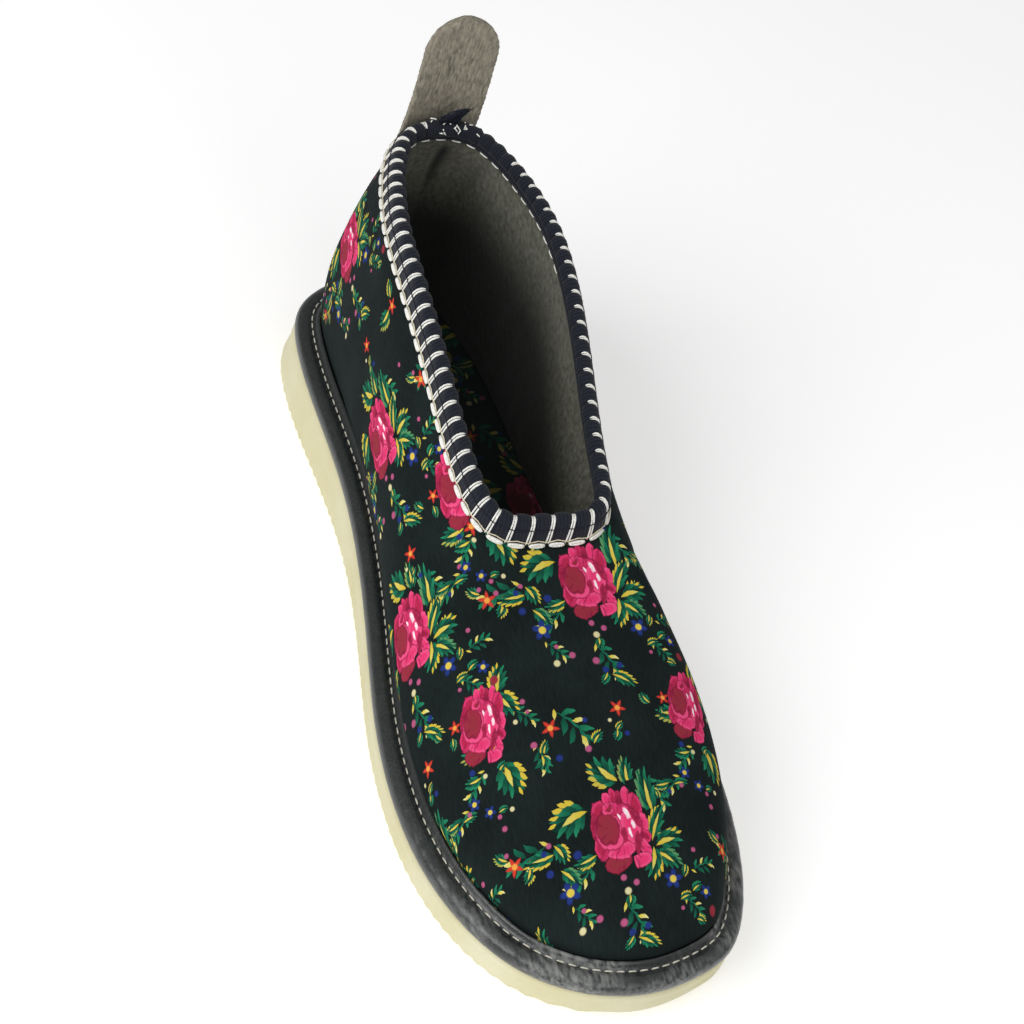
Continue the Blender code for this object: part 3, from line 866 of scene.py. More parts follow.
def felt_material(name, dark, light, warm, stretch, deep, painted_shade=None):
    """Felt: fibres between a dark and a light shade, clouds of a warmer one.

    soil names the attribute that darkens the felt with painted shade, if it has one.
    """
    material, wire, inputs = new_material(name, 0.95, specular=0.15, sheen=0.10)
    nap = wire.part(FELT, Place=object_place(wire), Stretch=stretch)
    colour = wire.mottle(nap["Fibre"], 0.28, 0.72, dark, light)
    colour = wire.mottle(nap["Cloud"], 0.4, 0.75, colour, warm, 0.45)
    if painted_shade:
        # painted shade: darkened towards near black as far as the attribute says
        colour = wire.blend(wire.attribute(painted_shade)["Fac"], colour, "#0b0d0b")
    wire.feed(inputs["Base Color"], colour)
    bump(wire, inputs, nap["Fibre"], 0.6, deep)
    return material


def leather_material():
    """Black leather: pebble grain, soft sheen, greyed and rougher where the toe is scuffed."""
    material, wire, inputs = new_material("rand_leather", 0.5, coat=0.25, coat_rough=0.28)
    place = object_place(wire)
    pebble = wire.noise(place, 1500.0, 2.0)
    nap = wire.noise(wire.scaled(place, (900.0, 260.0, 900.0)), 1.0, 3.0)
    blotch = wire.noise(place, 70.0, 3.0)
    toe = wire.span(wire.split(place)[1], -0.062, -0.112)
    worn = wire.math("MULTIPLY", wire.span(blotch, 0.36, 0.62), wire.span(nap, 0.36, 0.68))
    worn = wire.math("MULTIPLY", worn, toe)
    colour = wire.mottle(pebble, 0.35, 0.7, "#1e2121", "#313535")
    wire.feed(inputs["Base Color"], wire.blend(worn, colour, "#7e807d"))
    rough = wire.span(blotch, 0.3, 0.7, 0.32, 0.46)
    wire.feed(inputs["Roughness"], wire.math("MULTIPLY_ADD", worn, 0.1, rough))
    bump(wire, inputs, wire.math("ADD", pebble, wire.math("MULTIPLY", nap, 0.6)), 0.35)
    return material


def foam_material():
    """Cream foam rubber: fine pores, faint clouds, a little yellowed."""
    material, wire, inputs = new_material("sole_foam", 0.72, specular=0.3)
    place = object_place(wire)
    pores = wire.noise(place, 1300.0, 2.0)
    colour = wire.mottle(wire.noise(place, 45.0, 3.0), 0.35, 0.7, "#dcd7b7", "#d4cda4")
    wire.feed(inputs["Base Color"], wire.mottle(pores, 0.6, 0.8, colour, "#c1b98b", 0.35))
    bump(wire, inputs, pores, 0.3)
    return material


def tape_material():
    """Navy tape: fine ribs across its run, lint and a slow change of shade."""
    material, wire, inputs = new_material("tape_navy", 0.85, specular=0.25, sheen=0.1)
    uv = cloth_place(wire)
    wander = wire.math("MULTIPLY", wire.noise(uv, 4.0, 2.0), 3.0)
    rib = wire.math("SINE", wire.math("MULTIPLY_ADD", wire.split(uv)[0], 62.0, wander))
    lint = wire.noise(wire.scaled(uv, (9.0, 30.0, 1.0)), 1.0, 3.0)
    colour = wire.mottle(rib, -1.0, 1.0, "#090c14", "#141b2a")
    wire.feed(inputs["Base Color"], wire.mottle(lint, 0.55, 0.85, colour, "#262e40", 0.4))
    bump(wire, inputs, rib, 0.3)
    return material


def thread_material(name, colour, shade):
    """Sewing thread: two shades along a fine twist."""
    material, wire, inputs = new_material(name, 0.7, specular=0.3)
    twist = wire.noise(object_place(wire), 1800.0, 2.0)
    wire.feed(inputs["Base Color"], wire.mottle(twist, 0.35, 0.7, colour, shade))
    bump(wire, inputs, twist, 0.4, 0.0002)
    return material


# The print's first repeat, about a rose at its middle. Leaves: across and up of the foot, turn,
# length, width as a share of the common leaf, how yellow
LEAVES_A = [
    (-8.7, 7.7, -163, 9.8, -1.05, 0.7), (1.8, 12.5, 130, 9.0, 1.0, 0.4), (4.8, 11.0, 85, 7.8, 0.6, 0.2),
    (9.5, 2.3, 90, 13.0, 0.45, 0.1), (7.6, -4.2, 60, 10.5, 0.45, 0.6), (8.8, -5.5, 8, 7.6, 1.0, 0.9),
    (8.1, -6.8, -108, 7.8, 0.8, 0.5), (8.6, -7.6, -40, 7.5, 0.7, 0.1), (-8.4, -5.1, -168, 6.4, 0.6, 0.4),
    (-17.9, -5.7, -53, 6.3, 0.7, 0.1), (-19.3, -1.5, 179, 8.2, 0.55, 0.5), (-25.9, -2.3, -117, 3.9, 0.9, 0.8),
    (-18.3, 1.0, -66, 5.6, 0.8, 0.9), (-0.5, -27.9, -35, 6.9, 0.6, 0.6), (-31.9, 1.8, 140, 4.0, 0.8, 0.3),
    (12.4, -20.8, 16, 3.7, 0.7, 0.9), (16.4, -19.2, 29, 3.3, 0.8, 0.0), (17.0, -26.2, -15, 3.0, 0.8, 0.9),
    (15.7, -12.3, -108, 3.2, 0.7, 1.0), (-1.4, -16.9, -100, 3.0, 1.0, 0.0), (-4.4, -43.8, 43, 3.0, 0.7, 1.0),
    (-3.9, -43.8, -112, 3.0, 0.9, 0.0), (-2.0, -27.5, -130, 3.6, 0.7, 0.0), (15.5, -41.5, 178, 7.0, 0.8, 0.3),
    (18.5, -39.0, 60, 5.0, 0.8, 0.9)]
# Sprigs: across and up of the foot, turn, length
SPRIGS_A = [
    (-16.9, -15.6, -51, 7.4), (-2.8, -19.0, -68, 10.5), (14.2, -21.0, -47, 7.0), (-9.5, -7.0, -150, 9.5),
    (-20.5, 1.5, -172, 12.0), (9.5, 12.0, -60, 10.0), (17.5, -14.0, 10, 7.0)]
STARS_A = [(-30.1, -0.2, 2.9), (-2.4, -37.7, 2.7), (17.9, -41.5, 2.7)]
BLUES_A = [(-17.1, -11.9, 3.2), (11.2, -15.5, 2.9), (20.5, -20.0, 2.0)]
# Dots: across, up, radius, colour (0 pink, 1 cream, 2 blue, 3 red)
DOTS_A = [
    (-10.7, -20.6, 1.0, 0), (-14.5, -17.3, 0.7, 0), (-15.6, -22.0, 1.0, 1), (-2.4, -12.3, 0.9, 0),
    (0.8, -14.3, 0.9, 0), (-1.9, -15.9, 1.0, 1), (-4.4, -23.4, 1.1, 0), (2.0, -25.8, 1.0, 2),
    (-2.4, -26.4, 1.0, 2), (-20.1, 1.4, 0.8, 0), (-21.3, -5.6, 1.1, 2), (-13.2, -3.3, 1.2, 2),
    (-21.8, -0.2, 0.9, 2), (-31.6, 3.3, 0.7, 0), (12.7, -23.2, 0.6, 0), (22.5, -24.5, 1.3, 3),
    (-5.5, -40.7, 0.6, 1), (-1.6, -45.2, 0.8, 2), (19.0, -9.0, 0.7, 0), (20.5, 8.5, 0.7, 0)]

# The second repeat, about the rose between four of the first kind; columns as above
LEAVES_B = [
    (5.4, 6.2, -52, 7.4, 0.9, 0.5), (5.6, 7.0, 69, 7.4, 0.8, 0.8), (2.7, -12.0, -77, 9.4, 0.95, 0.6),
    (-12.5, 1.6, 123, 3.7, 0.8, 0.1), (-9.0, 0.3, -100, 3.2, 0.7, 0.1), (27.9, -13.9, 44, 4.0, 0.8, 1.0),
    (13.6, -13.7, 66, 4.2, 0.6, 0.9), (13.6, -13.7, -99, 3.8, 1.0, 0.0), (-4.2, -13.4, -179, 4.6, 0.8, 0.0),
    (-11.7, -21.5, 2, 4.1, 0.7, 0.0), (-13.5, -21.4, 180, 5.2, 0.6, 0.2), (-17.9, -22.4, -79, 2.6, 0.7, 1.0),
    (1.0, -13.5, 40, 3.0, 0.8, 0.0), (-1.5, -23.6, 10, 2.6, 0.8, 0.0)]
SPRIGS_B = [
    (9.0, 0.8, -44, 7.4), (20.0, -2.8, -56, 13.0), (12.6, -10.5, -84, 8.0), (-3.0, -12.0, -140, 8.0),
    (-10.0, -20.0, -150, 8.5)]
STARS_B = [(-7.8, 2.7, 2.2), (17.4, -7.0, 2.9)]
BLUES_B = [(-7.6, -18.9, 2.0), (-3.9, -22.7, 1.9)]
DOTS_B = [
    (11.9, 2.2, 0.8, 0), (12.5, -0.9, 0.6, 0), (8.7, -2.5, 0.7, 1), (27.2, -7.3, 0.8, 2),
    (26.1, -15.2, 1.0, 0), (11.9, -10.2, 1.0, 0), (17.7, -15.6, 1.0, 2), (-6.1, -10.9, 0.9, 2),
    (-2.8, -13.2, 0.7, 1), (2.1, -24.3, 0.7, 1), (-1.1, -28.4, 0.8, 0), (-1.6, -24.9, 0.7, 0),
    (-13.8, -23.5, 0.7, 2)]

# Where the two repeats stand on the upper: across the cloth, up it from the toe
UPPER_A = [
    (-2.7, 34.8), (7.7, 105.1), (-48.4, 108.1), (-38.2, 166.1), (-28.4, 230.9), (18.0, 165.0),
    (36.0, 224.0), (66.0, 97.0), (58.0, 26.0), (-62.0, 44.0)]
UPPER_B = [
    (-31.9, 73.2), (27.5, 65.6), (-18.5, 134.5), (41.0, 133.0), (50.0, 194.0),
    (60.0, 253.0), (-54.0, 262.0), (28.0, -2.0), (-38.0, 4.0)]
# The same on the insole: across, and how far from its toe towards the heel
INSOLE_A = [(23.0, 158.0), (31.0, 221.0), (13.0, 95.0), (3.0, 32.0), (-35.0, 166.0), (-26.0, 229.0)]
INSOLE_B = [(-6.0, 193.0), (-16.0, 130.0), (4.0, 256.0), (42.0, 124.0), (-26.0, 67.0), (33.0, 61.0)]
# Roses of both repeats: turn, half width, half height
ROSE_A, ROSE_B = (0.0, 7.8, 10.7), (-14.0, 6.3, 10.0)
FLOWER_SPIN = 40.0  # turn from one small flower to the next
FAR_OFF = 1.0e4  # cloth measure of the faces that no print reaches
CLOTH_UNIT = 10.0  # millimetres of cloth in one step of its UV


def repeat_rows(table, centres):
    """Rows of one repeat's table, moved to each of the repeat's centres."""
    rows, at = np.array(table, float), np.array(centres, float)
    moved = np.repeat(rows[None], len(at), 0)
    moved[:, :, :2] += at[:, None]
    return moved.reshape(-1, rows.shape[1])


def print_rows(centres_a, centres_b):
    """Per kind of motif: foot (across, up), turn, size along and across it, the third number."""
    def both(table_a, table_b):
        return np.vstack([repeat_rows(table_a, centres_a), repeat_rows(table_b, centres_b)])

    rows = {"rose": both([(0.0, 0.0, *ROSE_A, 0.0)], [(0.0, 0.0, *ROSE_B, 0.0)])}
    leaf = both(LEAVES_A, LEAVES_B)
    rows["leaf"] = np.c_[leaf[:, :4], leaf[:, 3] * leaf[:, 4], leaf[:, 5]]
    sprig = both(SPRIGS_A, SPRIGS_B)
    rows["sprig"] = np.c_[sprig[:, :4], sprig[:, 3], np.zeros(len(sprig))]
    for kind, flowers in (("star", both(STARS_A, STARS_B)), ("blue", both(BLUES_A, BLUES_B))):
        spin = np.arange(len(flowers)) * FLOWER_SPIN
        rows[kind] = np.c_[flowers[:, :2], spin, flowers[:, 2], flowers[:, 2], np.zeros(len(flowers))]
    dots = both(DOTS_A, DOTS_B)
    rows["dot"] = np.c_[dots[:, :2], np.zeros(len(dots)), dots[:, 2], dots[:, 2], dots[:, 3]]
    return rows


def lay_print(piece, corners, rows):
    """Give each face corner its place in the nearest motif of each kind, and the cloth's UV.

    corners holds the cloth measure per face corner. Each face takes one motif of a kind, the one
    whose middle is nearest in its own size, so no motif is smeared between two faces.
    """
    mesh = piece.data
    starts = np.zeros(len(mesh.polygons), np.int32)
    totals = np.zeros(len(mesh.polygons), np.int32)
    mesh.polygons.foreach_get("loop_start", starts)
    mesh.polygons.foreach_get("loop_total", totals)
    middles = np.add.reduceat(corners, starts, axis=0) / totals[:, None]
    face_of = np.repeat(np.arange(len(starts)), totals)
    for kind, table in rows.items():
        turn = np.radians(table[:, 2])
        along = np.stack([np.cos(turn), np.sin(turn)], 1)
        grown = kind in ("leaf", "sprig")
        hearts = table[:, :2] + along * table[:, 3:4] * (0.5 if grown else 0.0)
        best = np.full(len(middles), np.inf)
        pick = np.zeros(len(middles), int)
        for i, heart in enumerate(hearts):
            far = np.hypot(*(middles - heart).T) / table[i, 3]
            pick[far < best] = i
            best = np.minimum(best, far)
        mine = pick[face_of]
        off = corners - table[mine, :2]
        x = np.sum(off * along[mine], 1) / table[mine, 3]
        y = (off[:, 1] * along[mine, 0] - off[:, 0] * along[mine, 1]) / table[mine, 4]
        layer = mesh.attributes.new(kind + "_at", "FLOAT_VECTOR", "CORNER")
        layer.data.foreach_set("vector", np.c_[x, y, table[mine, 5]].astype(np.float32).ravel())
    set_cloth_uv(mesh, corners)


def set_cloth_uv(mesh, corners):
    """Cloth UV, in centimetres of cloth."""
    layer = mesh.uv_layers.new(name="Cloth")
    layer.data.foreach_set("uv", (corners / CLOTH_UNIT).astype(np.float32).ravel())


COTTON_BLACK = cotton_material("cotton_print", "#0f1515", "#1f2929")
# the footbed's print dimmed by 0.8: partly trodden wear, partly painted shade of the shoe's inside
INSOLE_BLACK = cotton_material("insole_print", "#0f1413", "#1c2321", 0.8)
# the lining's felt is darkened by painted shade from its attribute
LINING_FELT = felt_material("lining_felt", "#464639", "#898a7c", "#6b6853", (700.0, 700.0, 420.0), 0.0006,
                            "painted_shade")
TAB_FELT = felt_material("tab_felt", "#524f46", "#a9a38f", "#897d73", (1300.0, 1300.0, 330.0), 0.0008)
LEATHER = leather_material()
FOAM = foam_material()
TAPE_NAVY = tape_material()
WHITE_THREAD = thread_material("thread_white", "#f6f5ef", "#dcdbd3")
CREAM_THREAD = thread_material("thread_cream", "#e9dfc4", "#cfc3a2")
WELT_THREAD = thread_material("thread_welt", "#d6d3c6", "#b2afa0")
DARK_THREAD = thread_material("thread_dark", "#12141d", "#232838")


def build_upper():
    """Printed cotton: the outer face, and close behind it a back with fewer rows."""
    back = np.linspace(len(FACE) - 1, 0, BACK_ROWS).astype(int)
    grid = np.vstack([FACE, FACE[back] - FACE_NORMAL[back] * COTTON])
    piece = lay("upper_cotton", grid, [grid_faces(len(grid), LINES, tube=True)], COTTON_BLACK, "upper")
    corners = np.full((len(grid), LINES, 4, 2), FAR_OFF)
    quads = np.stack([CHART[:-1, :-1], CHART[:-1, 1:], CHART[1:, 1:], CHART[1:, :-1]], 2)
    corners[:len(FACE) - 1] = quads
    lay_print(piece, corners.reshape(-1, 2), print_rows(UPPER_A, UPPER_B))


# Creases down the felt inside the back: across at the collar, at the foot, half width, depth
LINING_CREASES = [
    (-6.5, -8.5, 1.9, 1.0), (5.5, 8.5, 2.0, 1.1), (15.5, 18.0, 2.4, 0.5), (-17.0, -19.0, 2.4, 0.5)]
CREASED = 30.0, 45.0  # along, between which they die away
FELT_SWAY, FELT_WAVES = 0.25, 9  # slow waves all round, and their number
FOLD_LEAST, FOLD_MOST = -1.15, 1.0
FELT_GAP = 0.05  # between cotton and felt
PAINTED_SHADE_BACK, PAINTED_SHADE_FRONT = 72.0, 20.0  # heights under which the felt is darkened by painted shade, at heel and throat
PAINTED_SHADE_START, PAINTED_SHADE_END = 62.0, 130.0  # along, between which that height falls
PAINTED_SHADE_BAND, PAINTED_SHADE_MOST = 17.0, 0.97
PAINTED_SHADE_FOLD = 0.2  # depth from which a crease is darkened by painted shade too


def build_lining():
    """Felt inside the cotton: a hidden back, then the face seen in the shoe with soft creases."""
    back = np.linspace(0, len(FACE) - 1, BACK_ROWS).astype(int)
    front = np.linspace(len(FACE) - 1, 0, LINING_ROWS).astype(int)
    inner = FACE[front] - FACE_NORMAL[front] * WALL
    drop = np.linspace(0, 1, LINING_ROWS)[:, None]
    fold = np.zeros(inner.shape[:2])
    for top, foot, wide, deep in LINING_CREASES:
        off = inner[..., 0] - (top + (foot - top) * drop)
        fold -= deep * np.exp(-(off / wide) ** 2) * ease(-inner[..., 1], -CREASED[1], -CREASED[0])
    sway = np.arange(LINES) / LINES * 2 * np.pi
    fold += FELT_SWAY * np.sin(FELT_WAVES * sway + 5 * drop) * np.sin(3.1 * drop + 2 * sway)
    fold *= ease(drop, 0.02, 0.12) * ease(drop, 1.0, 0.85)
    inner -= FACE_NORMAL[front] * np.clip(fold, FOLD_LEAST, FOLD_MOST)[..., None]
    grid = np.vstack([FACE[back] - FACE_NORMAL[back] * (COTTON + FELT_GAP), inner])
    piece = lay("lining_felt", grid, [grid_faces(len(grid), LINES, tube=True)], LINING_FELT)
    # painted shade: the felt darkens below a line that falls from the heel to the throat
    line = PAINTED_SHADE_FRONT + (PAINTED_SHADE_BACK - PAINTED_SHADE_FRONT) * ease(-inner[..., 1], -PAINTED_SHADE_END, -PAINTED_SHADE_START)
    painted_shade = PAINTED_SHADE_MOST * ease(line + PAINTED_SHADE_BAND - inner[..., 2], 0.0, 2 * PAINTED_SHADE_BAND)
    # painted shade in the deeper creases of the felt
    painted_shade = np.maximum(painted_shade, np.clip(-fold - PAINTED_SHADE_FOLD, 0, PAINTED_SHADE_MOST))
    painted_shade = np.vstack([np.zeros((BACK_ROWS, LINES)), painted_shade]).astype(np.float32)
    piece.data.attributes.new("painted_shade", "FLOAT", "POINT").data.foreach_set("value", painted_shade.ravel())


STITCH = np.linspace(-1, 1, 7)  # places along a running stitch, which
STITCH_ARCH = 1 - STITCH ** 4  # rises between its ends
STITCH_THIN = 1 - 0.5 * STITCH ** 6  # and thins out towards them
RAND_STITCH, RAND_STITCH_HALF = 3.25, 1.1
RAND_SEWN, RAND_LEDGE = 5.15, 5.72  # where those lie: in from the rand's edge, above the sole
PUCKER, PUCKER_WIDE = 0.16, 0.9  # how far they draw the leather down, and how far beside them
LIP_AT, LIP_WIDE = 1.2, 1.6  # of the rand's outer roll, in from its edge
UNEVEN, UNEVEN_TOE = 0.05, 0.12  # waves on that roll, all round and more at the toe
UNEVEN_WAVES, UNEVEN_SWAY, UNEVEN_DRIFT = 97, 23, 11  # their number, times their height and step change
TOE_START, TOE_FULL = 190, 230  # along, between which they grow
SEWING = 0.26  # radius of rand and tab stitches


def build_rand():
    """Leather rand: softened section round the plan, puckered by its stitches, wavy at the toe."""
    ring = inset_ring(RAND_SEWN, 0.0)
    way, total = ring_way(ring)
    count = round(total / RAND_STITCH)
    round_ = way / total * 2 * np.pi
    pull = -0.5 * np.cos(count * round_)
    toe = ease(EDGE[:, 1], TOE_START, TOE_FULL)
    wave = np.sin(UNEVEN_WAVES * round_ + 2 * np.sin(UNEVEN_DRIFT * round_))
    wave = wave * np.sin(UNEVEN_SWAY * round_ + 1.0)
    rings = []
    for inset, above in soften(RAND_SECTION, 2):
        sewn = np.exp(-((inset - RAND_SEWN) / PUCKER_WIDE) ** 2) * (above > 4)
        lip = np.exp(-((inset - LIP_AT) / LIP_WIDE) ** 2) * (above > 1)
        lift = PUCKER * pull * sewn + lip * wave * (UNEVEN + UNEVEN_TOE * toe)
        rings.append(inset_ring(np.full(LINES, inset), above + lift))
    lay("rand_leather", np.array(rings), [grid_faces(len(rings), LINES, tube=True)], LEATHER, "rand")
    at = (np.arange(count) / count * total)[:, None] + STITCH * RAND_STITCH_HALF
    paths = read_ring(ring, way, total, at)
    paths[..., 2] += RAND_LEDGE + 0.24 * STITCH_ARCH
    sew("rand_stitches", WELT_THREAD, paths, (0.0, 0.0, 1.0), SEWING * STITCH_THIN)


TREAD_PITCH, TREAD_DEEP, TREAD_SHARP = 4.0, 0.7, 0.8
TREAD_CUT = 0.45  # how far a ripple cuts into the edge, of its depth
SIDE_ROWS, SIDE_CROWD = 26, 1.3  # rows up the edge, crowded towards its foot


def tread(along):
    """Depth of the ripples that cross the underside."""
    return TREAD_DEEP * (0.5 - 0.5 * np.cos(along / TREAD_PITCH * 2 * np.pi)) ** TREAD_SHARP


def build_outsole():
    """Foam wedge: rippled underside, edge whose foot takes up the ripples, plain top."""
    table = np.array([(share, out) for out, share in OUTSOLE_SIDE])
    rings = []
    for share in np.linspace(0, 1, SIDE_ROWS) ** SIDE_CROWD:
        ring = outsole_ring(smooth_run(table, 1, np.array([share]))[0], share)
        ripple = tread(ring[:, 1]) * (1 - share) ** 4
        ring[:, 2] += ripple
        ring[:, :2] -= OUTWARD * (TREAD_CUT * ripple)[:, None]
        rings.append(ring)
    grid = np.array(rings + [inset_ring(RAND_REACH + WALL, 0.0)])
    low = grid[0].copy()
    low[:, 2] = sole_level(low[:, 1], BOTTOM)
    points, faces = lidded(grid, (12,), low, (40, lambda share, along: tread(along)))
    lay("sole_foam", points, faces, FOAM, "outsole")


HEEL_DISH, BALL_SWELL = 0.9, 0.25
DISH_FULL, DISH_END = 50, 95  # along, between which the heel's dish dies away
BALL_START, BALL_FULL = 120, 170  # and the ball's swell grows


def dish(share, along):
    """Height of the footbed over a flat one: dished under the heel, swollen under the ball."""
    arch = np.sin(np.pi * share)
    return (BALL_SWELL * arch * ease(along, BALL_START, BALL_FULL)
            - HEEL_DISH * arch * ease(-along, -DISH_END, -DISH_FULL))


def build_insole():
    """Footbed with the printed sock: its side carried round the plan, a dished top, a flat underside."""
    grid = np.array([inset_ring(inset, above) for inset, above in INSOLE_SIDE])
    points, faces = lidded(grid, (64, dish), grid[0], (4,))
    piece = lay("footbed_sock", points, faces, INSOLE_BLACK, "insole")
    corners = np.concatenate([f.ravel() for f in faces])
    cloth = np.c_[points[:, 0], OUTLINE[-1, 0] - points[:, 1]][corners]
    lay_print(piece, cloth, print_rows(INSOLE_A, INSOLE_B))


OPEN, OPEN_WAY = 0.32, 11.0  # how much wider stitches stand at the throat, over what half way
OVERCAST_STEP = 4.70
OVERCAST = round((CREST_TOTAL - 2 * OPEN * OPEN_WAY) / OVERCAST_STEP)  # stitches round the collar
TAPE_STEPS = 1440
ROLL_MIDDLE = np.array([-0.7, -0.6])  # of the tape's roll: off the upper's face, past its edge
ROLL_RADIUS = 2.3
PILLOW = 1.25  # from the notch of a stitch to the top of the pillow between two
PILLOW_FULL, PILLOW_LEVEL = 0.55, 0.60  # power that fills the pillow out, share that lies under the roll
JOIN = (-13.0, 2.5)  # way round the collar in which the tape's ends lap
JOIN_OUT, JOIN_IN = 2.0, 1.0  # how far past both ends of that, and within, the lap grows
LAP = 0.55  # how much the lapped ends stand up
CRUMPLE = 0.25  # their unevenness
BARE = -25.0  # way from which on to the join no strands lie over the tape


def stitch_way(number):
    """Way round the collar of a stitch by its number, which may fall between two."""
    even = OPEN * OPEN_WAY + number / OVERCAST * (CREST_TOTAL - 2 * OPEN * OPEN_WAY)
    return even + OPEN * OPEN_WAY * np.tanh((even - CREST_TOTAL / 2) / OPEN_WAY)


def from_join(way):
    """Way round the collar counted from the centre back, to both sides."""
    return np.mod(way + CREST_TOTAL / 2, CREST_TOTAL) - CREST_TOTAL / 2


def in_join(way):
    """Whether a way round the collar falls in the run of bare tape up to its lapped ends."""
    near = from_join(way)
    return (near > BARE) & (near < JOIN[1])


def pillowed(off, past):
    """How fully a point of the tape's section swells between the stitches: most on the crest, not inside."""
    outer = (0.35 + 0.65 * ease(past, -3.0, 0.8)) * ease(past, -5.6, -3.5)
    swollen = np.where(off > -1.5, outer, 0.8 * ease(past, -1.6, 0.3))
    return np.where((off > -2.3) & (off < 0.4) & (past < 0.9), 0.0, swollen)


def build_tape():
    """Folded tape: softened section along the collar, pillows between the stitches, lapped at the back."""
    section = soften(TAPE_SECTION, 1)
    around = np.arange(TAPE_STEPS) / TAPE_STEPS * CREST_TOTAL
    fine = np.linspace(0, OVERCAST, TAPE_STEPS + 1)
    stitch = np.interp(around, stitch_way(fine), fine)
    swell = np.abs(np.sin(stitch * np.pi)) ** PILLOW_FULL - PILLOW_LEVEL
    near = from_join(around)
    lap = ease(near, JOIN[0] - JOIN_OUT, JOIN[0] + JOIN_IN)
    lap *= ease(-near, -JOIN[1] - JOIN_OUT, -JOIN[1] + JOIN_IN)
    swell = PILLOW * swell * (1 - lap) + CRUMPLE * lap * np.sin(near * 1.3 + 0.6 * np.sin(near * 2.9))
    out = unit(section - ROLL_MIDDLE)
    push = pillowed(*section.T)[:, None] * swell + LAP * np.outer(ease(section[:, 1], -2.5, -0.5), lap)
    off, past = section[:, :1] + out[:, :1] * push, section[:, 1:] + out[:, 1:] * push
    grid = tape_at(np.broadcast_to(around, off.shape), off, past)
    faces = grid_faces(len(grid), TAPE_STEPS, tube=True)
    piece = lay("collar_tape", grid, [faces], TAPE_NAVY, "collar_binding")
    row, column = np.divmod(faces, TAPE_STEPS)
    closing = (column == 0) & (column[:, 1:2] == 0)
    way = np.append(around, CREST_TOTAL)[np.where(closing, TAPE_STEPS, column)]
    girth = np.append(*ring_way(section))
    climb = girth[np.where((row == 0) & (row[:, 2:3] == 0), len(section), row)]
    set_cloth_uv(piece.data, np.stack([way, climb], 2).reshape(-1, 2))


# Overcast strand from the chain over the crest, sunk in its notch: off the face, past the crest, radius
STRAND = np.array([
    (1.46, -6.5, 0.22), (1.66, -5.2, 0.25), (1.66, -3.6, 0.27), (1.54, -2.0, 0.29), (1.30, -0.6, 0.31),
    (0.86, 0.42, 0.33), (0.14, 1.06, 0.33), (-0.62, 1.22, 0.31), (-1.22, 1.08, 0.25), (-1.65, 0.80, 0.14)])
LEAN, LEAN_MIDDLE = 2.0, 0.75  # how far a strand leans along the collar, about which share of it
PAIR, PAIR_CLOSE = 0.46, 0.15  # half the gap of a pair at its foot, how much less over the crest
# Threads along the tape: off the face, past the crest, radius
CHAIN = 1.75, -6.85, 0.45
ZIGZAG = 1.76, -5.9, 0.17
RUN = 1.84, -1.7, 0.16
DASHES = -2.95, -3.6, 0.22
LINK_STEPS, LINK_HALF, LINK_HIGH = 18, 0.34, 0.40  # chain link: half length in stitches, half height
ZIG_STEPS, ZIG_OFF, ZIG_HIGH = 12, 0.12, 0.75
ZIG_ROOT = -5.5  # past the crest, from which the zigzag and the run look outwards
RUN_SWAY = 0.10
DASH, DASH_HALF, DASH_REACH = 5.2, 1.6, 64.0  # step, half length, how far from the centre back
INSIDE = -8.0  # off the face, a place within the shoe


def build_collar_threads():
    """White pairs laid over the tape, chain links along their feet, cream zigzag, dark and inner runs."""
    number = np.arange(OVERCAST)
    number = number[~in_join(stitch_way(number))]
    at = stitch_way(number)
    share = np.linspace(0, 1, len(STRAND))
    lean = LEAN * (share - LEAN_MIDDLE) * ease(0.95 - share, 0.0, 0.4)
    pair = (PAIR - PAIR_CLOSE * share)[None] * np.array([[-1.0], [1.0]])
    slide = np.repeat((lean + pair)[None], len(at), 0).reshape(-1, len(STRAND))
    level = np.zeros(slide.shape)
    paths = tape_at(np.repeat(at, 2)[:, None] + level, STRAND[:, 0] + level, STRAND[:, 1] + level, slide)
    out = paths - np.repeat(tape_at(at, *ROLL_MIDDLE), 2, 0)[:, None]
    sew("overcast_threads", WHITE_THREAD, paths, out, STRAND[:, 2])

    off, past, radius = CHAIN
    turn = np.linspace(0, 2 * np.pi, LINK_STEPS, endpoint=False)
    way = stitch_way(number[:, None] + 0.5 + LINK_HALF * np.cos(turn)) + lean[0]
    level = np.zeros(way.shape)
    high = past + LINK_HIGH * np.sin(turn) + level
    paths = tape_at(way, off + level, high)
    sew("chain_links", WHITE_THREAD, paths, paths - tape_at(way, level, high), radius, closed=True)

    off, past, radius = ZIGZAG
    step = np.arange(OVERCAST * ZIG_STEPS) / ZIG_STEPS
    way = stitch_way(step) + lean[0]
    zig = np.abs(np.mod(step + 0.5, 1.0) - 0.5) * 2
    paths = tape_at(way, off + ZIG_OFF * zig, past + ZIG_HIGH * zig)[None]
    out = paths - tape_at(way, 0 * way, ZIG_ROOT + 0 * way)
    sew("zigzag_thread", CREAM_THREAD, paths, out, radius, 5, closed=True)

    off, past, radius = RUN
    paths = tape_at(way, off + RUN_SWAY * zig, past + RUN_SWAY * np.sin(way))[None]
    sew("tape_run_thread", DARK_THREAD, paths, out, radius, 5, closed=True)

    off, past, radius = DASHES
    way = np.arange(-DASH_REACH, DASH_REACH, DASH)[:, None] + DASH_HALF * STITCH
    level = np.zeros(way.shape)
    paths = tape_at(way, off - 0.22 * STITCH_ARCH + level, past + level)
    out = tape_at(way, INSIDE + level, past + level) - paths
    sew("inner_dashes", WHITE_THREAD, paths, out, radius * STITCH_THIN)


def on_roll(way, turn, above):
    """Point over the tape's roll where its ends lap: way round, turn up from outside, height above it."""
    far = ROLL_RADIUS + LAP + above
    return tape_at(way, ROLL_MIDDLE[0] + far * np.cos(turn), ROLL_MIDDLE[1] + far * np.sin(turn))


